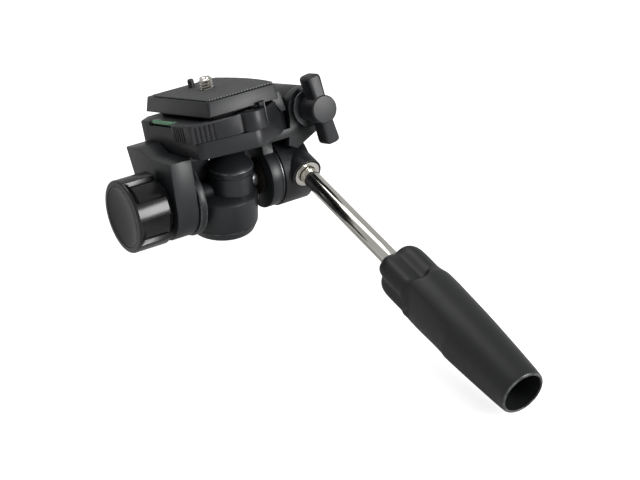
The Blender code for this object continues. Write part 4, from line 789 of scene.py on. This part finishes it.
@dataclass
class Yoke:
    """Tilting casting with the handle's split boss and the side-tilt fork."""

    edge: float = 0.00035
    boss_edge: float = 0.0004
    ring_edge: float = 0.0002
    washer_edge: float = 0.0004
    bolt_edge: float = 0.0002
    screw_edge: float = 0.0001

    def build(self) -> None:
        """Build the casting, the boss and their hardware."""
        reface("yoke", Body.YOKE, PAINTED_CASTING, self.edge)
        reface("handle_boss", Body.YOKE, MOULDED_ABS, self.boss_edge)
        reface("boss_ring", Body.YOKE, BLACK_STEEL, self.ring_edge)
        reface("socket_ferrule", Body.YOKE, CHROME, self.washer_edge)
        reface("hinge_washer", Body.YOKE, BLACK_STEEL, self.washer_edge)
        reface("hinge_bolt", Body.YOKE, ZINC_STEEL, self.bolt_edge)
        for node in ("boss_screw_a", "boss_screw_b"):
            reface(node, Body.YOKE, ZINC_STEEL, self.screw_edge)


@dataclass
class Handle:
    """Chromed rod and the fluted rubber grip with its open end.

    Lengths run along the handle from its joint. The profile's points are shares of the grip's length and of
    its largest radius.
    """

    start: float = 0.0885
    end: float = 0.1803
    largest: float = 0.0134
    lobes: int = 4
    lobe_angle: float = math.radians(149)
    flute_depth: float = 0.0034
    flute_narrowness: float = 1.6    # a power: above 1 the flutes are narrower than the lobes
    flute_end: float = 0.1105
    flute_fade: float = 0.0035       # the length over which a flute ends
    scoop_depth: float = 0.003
    scoop_end: float = 0.141
    scoop_angle: float = math.radians(186)
    scoop_half: float = math.radians(50)
    scoop_run_out: float = 0.6       # a power: how the thumb scoop gets shallower along the grip
    scoop_steepness: float = 8.0     # its length against that of its steep end
    bore: float = 0.0089
    bore_start: float = 0.135
    well: float = 0.0063             # radius round the sleeve and the nut
    well_start: float = 0.097
    rod_bore: float = 0.0043
    rod_edge: float = 0.0003
    insert_edge: float = 0.0002
    rim: float = 0.0012
    rim_steps: int = 5
    rim_room: float = 1.01           # rims that the profile's stations stay away from the end
    rim_wear_and_highlight: float = 0.4            # share of the rim that is painted lighter, as wear and a painted highlight
    lip: float = 0.0006
    lip_steps: int = 4
    steepest: float = 2.0            # the profile's slope at a point, at most, against its chord's
    stations: int = 90
    sides: int = 200
    smooth: float = 40.0
    profile: tuple[tuple[float, float], ...] = (
        (0.0, 0.50), (0.012, 0.70), (0.035, 0.85), (0.075, 0.925), (0.13, 0.935), (0.20, 0.93), (0.235, 0.95),
        (0.27, 0.998), (0.34, 1.0), (0.44, 0.98), (0.54, 0.96), (0.60, 0.945), (0.75, 0.89), (0.90, 0.825),
        (0.985, 0.775), (1.0, 0.735))

    def build(self) -> None:
        """Build the rod, the grip and what holds it."""
        reface("handle_rod", Body.HANDLE, CHROME, self.rod_edge)
        present("grip_skin", self._grip(), Body.HANDLE, SOFT_RUBBER, ["handle_grip"], HANDLE, self.smooth)
        reface("grip_sleeve", Body.HANDLE, TURNED_BRASS, self.insert_edge)
        reface("grip_nut", Body.HANDLE, ZINC_STEEL, self.insert_edge)

    def _share(self, along: float) -> float:
        """Return the smooth profile's share of the largest radius."""
        points = self.profile
        index = max(next(i for i, point in enumerate(points) if along <= point[0]), 1)
        (a, low), (b, high) = points[index - 1], points[index]
        before = points[max(index - 2, 0)]
        after = points[min(index + 1, len(points) - 1)]
        share = (along - a) / (b - a)
        rise = high - low
        limit = abs(rise) * self.steepest

        def held(slope: float) -> float:
            return max(-limit, min(limit, slope)) if slope * rise > 0 else 0

        near = held((high - before[1]) / (b - before[0]) * (b - a))
        far = held((after[1] - low) / (after[0] - a) * (b - a))
        square, cube = share * share, share ** 3
        return (low * (2 * cube - 3 * square + 1) + near * (cube - 2 * square + share)
                + high * (3 * square - 2 * cube) + far * (cube - square))

    def _radius(self, s: float, share: float, angle: float) -> float:
        """Return the skin's radius at a station and angle, with flutes and thumb scoop taken off."""
        radius = self.largest * share
        groove = ((1 - math.cos(self.lobes * (angle - self.lobe_angle))) / 2) ** self.flute_narrowness
        arch = self.flute_end - self.flute_fade * (1 - groove)
        depth = eased((arch + self.flute_fade - s) / self.flute_fade)
        radius -= self.flute_depth * groove * depth * share
        off = math.remainder(angle - self.scoop_angle, math.tau) / self.scoop_half
        along = (s - self.flute_end) / (self.scoop_end - self.flute_end)
        if abs(off) < 1 and 0 < along < 1:
            fade = (1 - along) ** self.scoop_run_out * min(along * self.scoop_steepness, 1)
            radius -= self.scoop_depth * (1 - off * off) * fade
        return radius

    def _grip(self) -> BMesh:
        """Return the grip's closed skin with its stepped bore."""
        length = self.end - self.start
        fine = [index / self.stations for index in range(self.stations + 1)]
        alongs = sorted(set(fine) | {point[0] for point in self.profile})
        last = self.profile[-2][1] * self.largest
        steps = [(self.start + along * length, self._share(along), 0.0) for along in alongs[:-1]]
        steps = [step for step in steps if step[0] <= self.end - self.rim * self.rim_room]
        steps += [(self.end - self.rim * (1 - sin), 0.0, last - self.rim * (1 - cos))
                  for cos, sin in quarter_turn(self.rim_steps, 1)]
        steps += [(self.end - self.lip * (1 - cos), 0.0, self.bore + self.lip * (1 - sin))
                  for cos, sin in quarter_turn(self.lip_steps)]
        steps += [(self.bore_start, 0.0, self.bore), (self.bore_start, 0.0, self.well),
                  (self.well_start, 0.0, self.well), (self.well_start, 0.0, self.rod_bore),
                  (self.start, 0.0, self.rod_bore), (self.start, self._share(0), 0.0)]

        def radius(station: int, angle: float) -> float:
            s, share, plain = steps[station]
            return plain or self._radius(s, share, angle)

        bm = sealed(lofted([step[0] for step in steps], radius, self.sides))
        # The rim's end gets the lighter edge colour: wear and a painted highlight
        layer = bm.faces.layers.float.new(EDGE_WEAR_AND_HIGHLIGHT)
        for face in bm.faces:
            if face.calc_center_median().z > self.end - self.rim * self.rim_wear_and_highlight:
                face[layer] = 1.0
        return bm


@dataclass
class SideLock:
    """Wing knob of the side-tilt hinge."""

    edge: float = 0.00045
    insert_edge: float = 0.0002

    def build(self) -> None:
        """Build the knob and its insert."""
        reface("wing_knob", Body.SIDE_LOCK, MOULDED_ABS, self.edge)
        reface("wing_insert", Body.SIDE_LOCK, TURNED_BRASS, self.insert_edge)


@dataclass
class Platform:
    """Side-tilting slab with its level, clamp pin and spring."""

    edge: float = 0.0003
    pin_edge: float = 0.00015
    pivot_x: float = 0.0058
    pivot_y: float = -0.0305
    spring_low: float = 0.0278
    spring_length: float = 0.004
    spring_wire: float = 0.0004
    spring_radius: float = 0.0029
    spring_turns: int = 4
    spring_smooth: float = 60.0

    def build(self) -> None:
        """Build the slab and what it carries."""
        reface("platform_base", Body.PLATFORM, MOULDED_ABS, self.edge)
        dress("level_vial", CLEAR_ACRYLIC)
        dress("level_liquid", GREEN_SPIRIT)
        dress("level_plug", MOULDED_ABS)
        reface("lever_pin", Body.PLATFORM, ZINC_STEEL, self.pin_edge)
        self._spring()

    def _spring(self) -> None:
        """Wind the lever's torsion spring."""
        low = self.spring_low + self.spring_wire
        pitch = (self.spring_length - self.spring_wire * 2) / self.spring_turns
        coil = helix(self.spring_radius, self.spring_wire, low, pitch, self.spring_turns)
        place = TILT @ shift(self.pivot_x, self.pivot_y, 0)
        present("lever_spring_coil", coil, Body.PLATFORM, ZINC_STEEL, ["lever_spring"], place,
                self.spring_smooth)


@dataclass
class ClampLever:
    """Ribbed lever that clamps the plate."""

    edge: float = 0.0002

    def build(self) -> None:
        """Build the lever."""
        reface("clamp_lever", Body.LEVER, MOULDED_ABS, self.edge)


@dataclass
class QuickPlate:
    """Plate with its treaded rubber, camera screw, locating pin and spring."""

    edge: float = 0.00025
    pad_edge: float = 0.0002
    pin_edge: float = 0.0003
    plate_x: float = 0.004
    screw_y: float = 0.003
    screw_low: float = 0.0375
    head_radius: float = 0.0074
    head_thickness: float = 0.0026
    head_edge: float = 0.0003
    core: float = 0.0025
    crest: float = 0.003175
    screw_top: float = 0.0502
    tip: float = 0.0004              # bevel at the screw's top
    thread_pitch: float = 0.00127
    thread_sink: float = 0.0001      # how far the thread's foot is sunk in the core
    thread_smooth: float = 50.0

    def build(self) -> None:
        """Build the plate and what it carries."""
        reface("quick_plate", Body.PLATE, MOULDED_ABS, self.edge)
        reface("plate_pad", Body.PLATE, TREAD_RUBBER, self.pad_edge)
        self._screw()
        reface("video_pin", Body.VIDEO_PIN, MOULDED_ABS, self.pin_edge)
        dress("pin_spring", ZINC_STEEL)

    def _screw(self) -> None:
        """Turn the camera screw and lay its quarter-inch thread on it."""
        place = TILT @ shift(self.plate_x, self.screw_y, 0)
        low, top, reach, edge = self.screw_low, self.screw_top, self.head_radius, self.head_edge
        shoulder = low + self.head_thickness
        thread_top = top - self.tip
        core = turned([(0, low), (reach - edge, low), (reach, low + edge), (reach, shoulder - edge),
                       (reach - edge, shoulder), (self.core, shoulder), (self.core, thread_top),
                       (self.core - self.tip, top), (0, top)])
        turns = int((thread_top - shoulder) / self.thread_pitch)
        start = thread_top - turns * self.thread_pitch - self.thread_pitch
        ridge = threaded(self.core - self.thread_sink, self.crest, start, self.thread_pitch, turns)
        present("camera_screw_core", core, Body.CAMERA_SCREW, CHROME, ["camera_screw"], place)
        present("camera_screw_thread", ridge, Body.CAMERA_SCREW, CHROME, (), place, self.thread_smooth)


# Studio

WHITE = (1.0, 1.0, 1.0, 1.0)


@dataclass(frozen=True)
class Level:
    """How bright a backdrop is for each kind of ray.

    Attributes:
        unseen: As a light on matt surfaces.
        shown: To the camera and through clear pieces.
        mirrored: In reflections.
    """

    unseen: float
    shown: float
    mirrored: float

    def strength(self, tree: bpy.types.NodeTree) -> Any:
        """Return the socket with the level."""
        path = add_node(tree, "LightPath")
        seen = calculate(tree, "MAXIMUM", path.outputs["Is Camera Ray"], path.outputs["Is Transmission Ray"])
        direct = remap(tree, seen, self.unseen, self.shown)
        return mix_numbers(tree, path.outputs["Is Glossy Ray"], direct, self.mirrored)


@dataclass(frozen=True)
class Lamp:
    """A soft square lamp.

    Attributes:
        name: Its name.
        spot: Where it hangs.
        size: Its side, metres.
        power: Watts.
    """

    name: str
    spot: tuple[float, float, float]
    size: float
    power: float


@dataclass
class Studio:
    """Pale floor, soft lamps and the camera at the photograph's angle.

    The camera's focal length, distance, angles and target were fitted to the photograph.
    """

    image_width: int = 640
    sensor: float = 36.0
    focal_pixels: float = 1900.0
    distance: float = 0.9127166
    azimuth: float = math.radians(-33.15809)
    elevation: float = math.radians(30.8899)
    target: tuple[float, float, float] = (0.05313191, 0.0, -0.02549113)
    nearest: float = 0.01            # what is closer to the camera isn't drawn
    world_level: Level = Level(unseen=0.3, shown=1.0, mirrored=0.5)
    floor_level: Level = Level(unseen=0.0, shown=0.75, mirrored=0.0)
    floor_colour: str = "f2f2f2"
    floor_roughness: float = 0.9
    floor_drop: float = 0.004
    floor_size: float = 6.0
    lamps: tuple[Lamp, ...] = (Lamp("front_lamp", spot=(0.54, -0.95, 0.47), size=0.5, power=9.5),
                               Lamp("top_lamp", spot=(-0.1, 0.5, 0.95), size=0.6, power=2.5))
    lamp_aim: tuple[float, float, float] = (0.02, -0.05, 0.0)

    def build(self) -> None:
        """Set the stage."""
        scene = bpy.context.scene
        scene.view_settings.view_transform = "Standard"
        self._camera(scene)
        self._world(scene)
        self._floor()
        for lamp in self.lamps:
            self._hang(lamp)

    def _camera(self, scene: bpy.types.Scene) -> None:
        """Stand the camera where the photograph was taken."""
        data = bpy.data.cameras.new("photo_camera")
        data.sensor_width = self.sensor
        data.lens = self.focal_pixels / self.image_width * self.sensor
        data.clip_start = self.nearest
        camera = bpy.data.objects.new("photo_camera", data)
        flat = math.cos(self.elevation)
        away = Vector((math.sin(self.azimuth) * flat, -math.cos(self.azimuth) * flat,
                       math.sin(self.elevation)))
        camera.location = Vector(self.target) + away * self.distance
        self._face(camera, -away)
        scene.collection.objects.link(camera)
        scene.camera = camera

    def _face(self, thing: bpy.types.Object, way: Vector) -> None:
        """Turn a camera or lamp so that it looks one way."""
        thing.rotation_euler = way.to_track_quat("-Z", "Y").to_euler()

    def _world(self, scene: bpy.types.Scene) -> None:
        """Even light all round, white where the camera sees it."""
        world = bpy.data.worlds.new("studio_white")
        world.use_nodes = True
        tree = world.node_tree
        light = tree.nodes["Background"]
        light.inputs["Color"].default_value = WHITE
        tree.links.new(self.world_level.strength(tree), light.inputs["Strength"])
        scene.world = world

    def _floor(self) -> None:
        """Lay the floor just under the lowest piece."""
        low = CAD_BOX[0][2] - self.floor_drop
        bm = bmesh.new()
        bmesh.ops.create_grid(bm, x_segments=1, y_segments=1, size=self.floor_size / 2)
        bmesh.ops.translate(bm, verts=bm.verts, vec=(0, 0, low))
        mesh = bpy.data.meshes.new("studio_floor")
        bm.to_mesh(mesh)
        bm.free()
        material = bpy.data.materials.new("white_paper")
        material.use_nodes = True
        tree = material.node_tree
        shader = tree.nodes["Principled BSDF"]
        shader.inputs["Base Color"].default_value = linear(self.floor_colour)
        shader.inputs["Roughness"].default_value = self.floor_roughness
        tree.links.new(self.floor_level.strength(tree), shader.inputs["Emission Strength"])
        shader.inputs["Emission Color"].default_value = WHITE
        mesh.materials.append(material)
        floor = bpy.data.objects.new("studio_floor", mesh)
        bpy.context.scene.collection.objects.link(floor)

    def _hang(self, lamp: Lamp) -> None:
        """Hang a lamp that looks at the head."""
        data = bpy.data.lights.new(lamp.name, "AREA")
        data.size = lamp.size
        data.energy = lamp.power
        light = bpy.data.objects.new(lamp.name, data)
        light.location = lamp.spot
        self._face(light, Vector(self.lamp_aim) - Vector(lamp.spot))
        bpy.context.scene.collection.objects.link(light)


def main() -> None:
    """Build every sub-assembly and the studio."""
    logging.basicConfig(level=logging.INFO, format="%(name)s %(message)s")
    for assembly in (PanBase(), Trunk(), PanKnob(), Yoke(), Handle(), SideLock(), Platform(), ClampLever(),
                     QuickPlate(), Studio()):
        LOG.info("building %s", type(assembly).__name__)
        assembly.build()


if __name__ == "__main__":
    main()
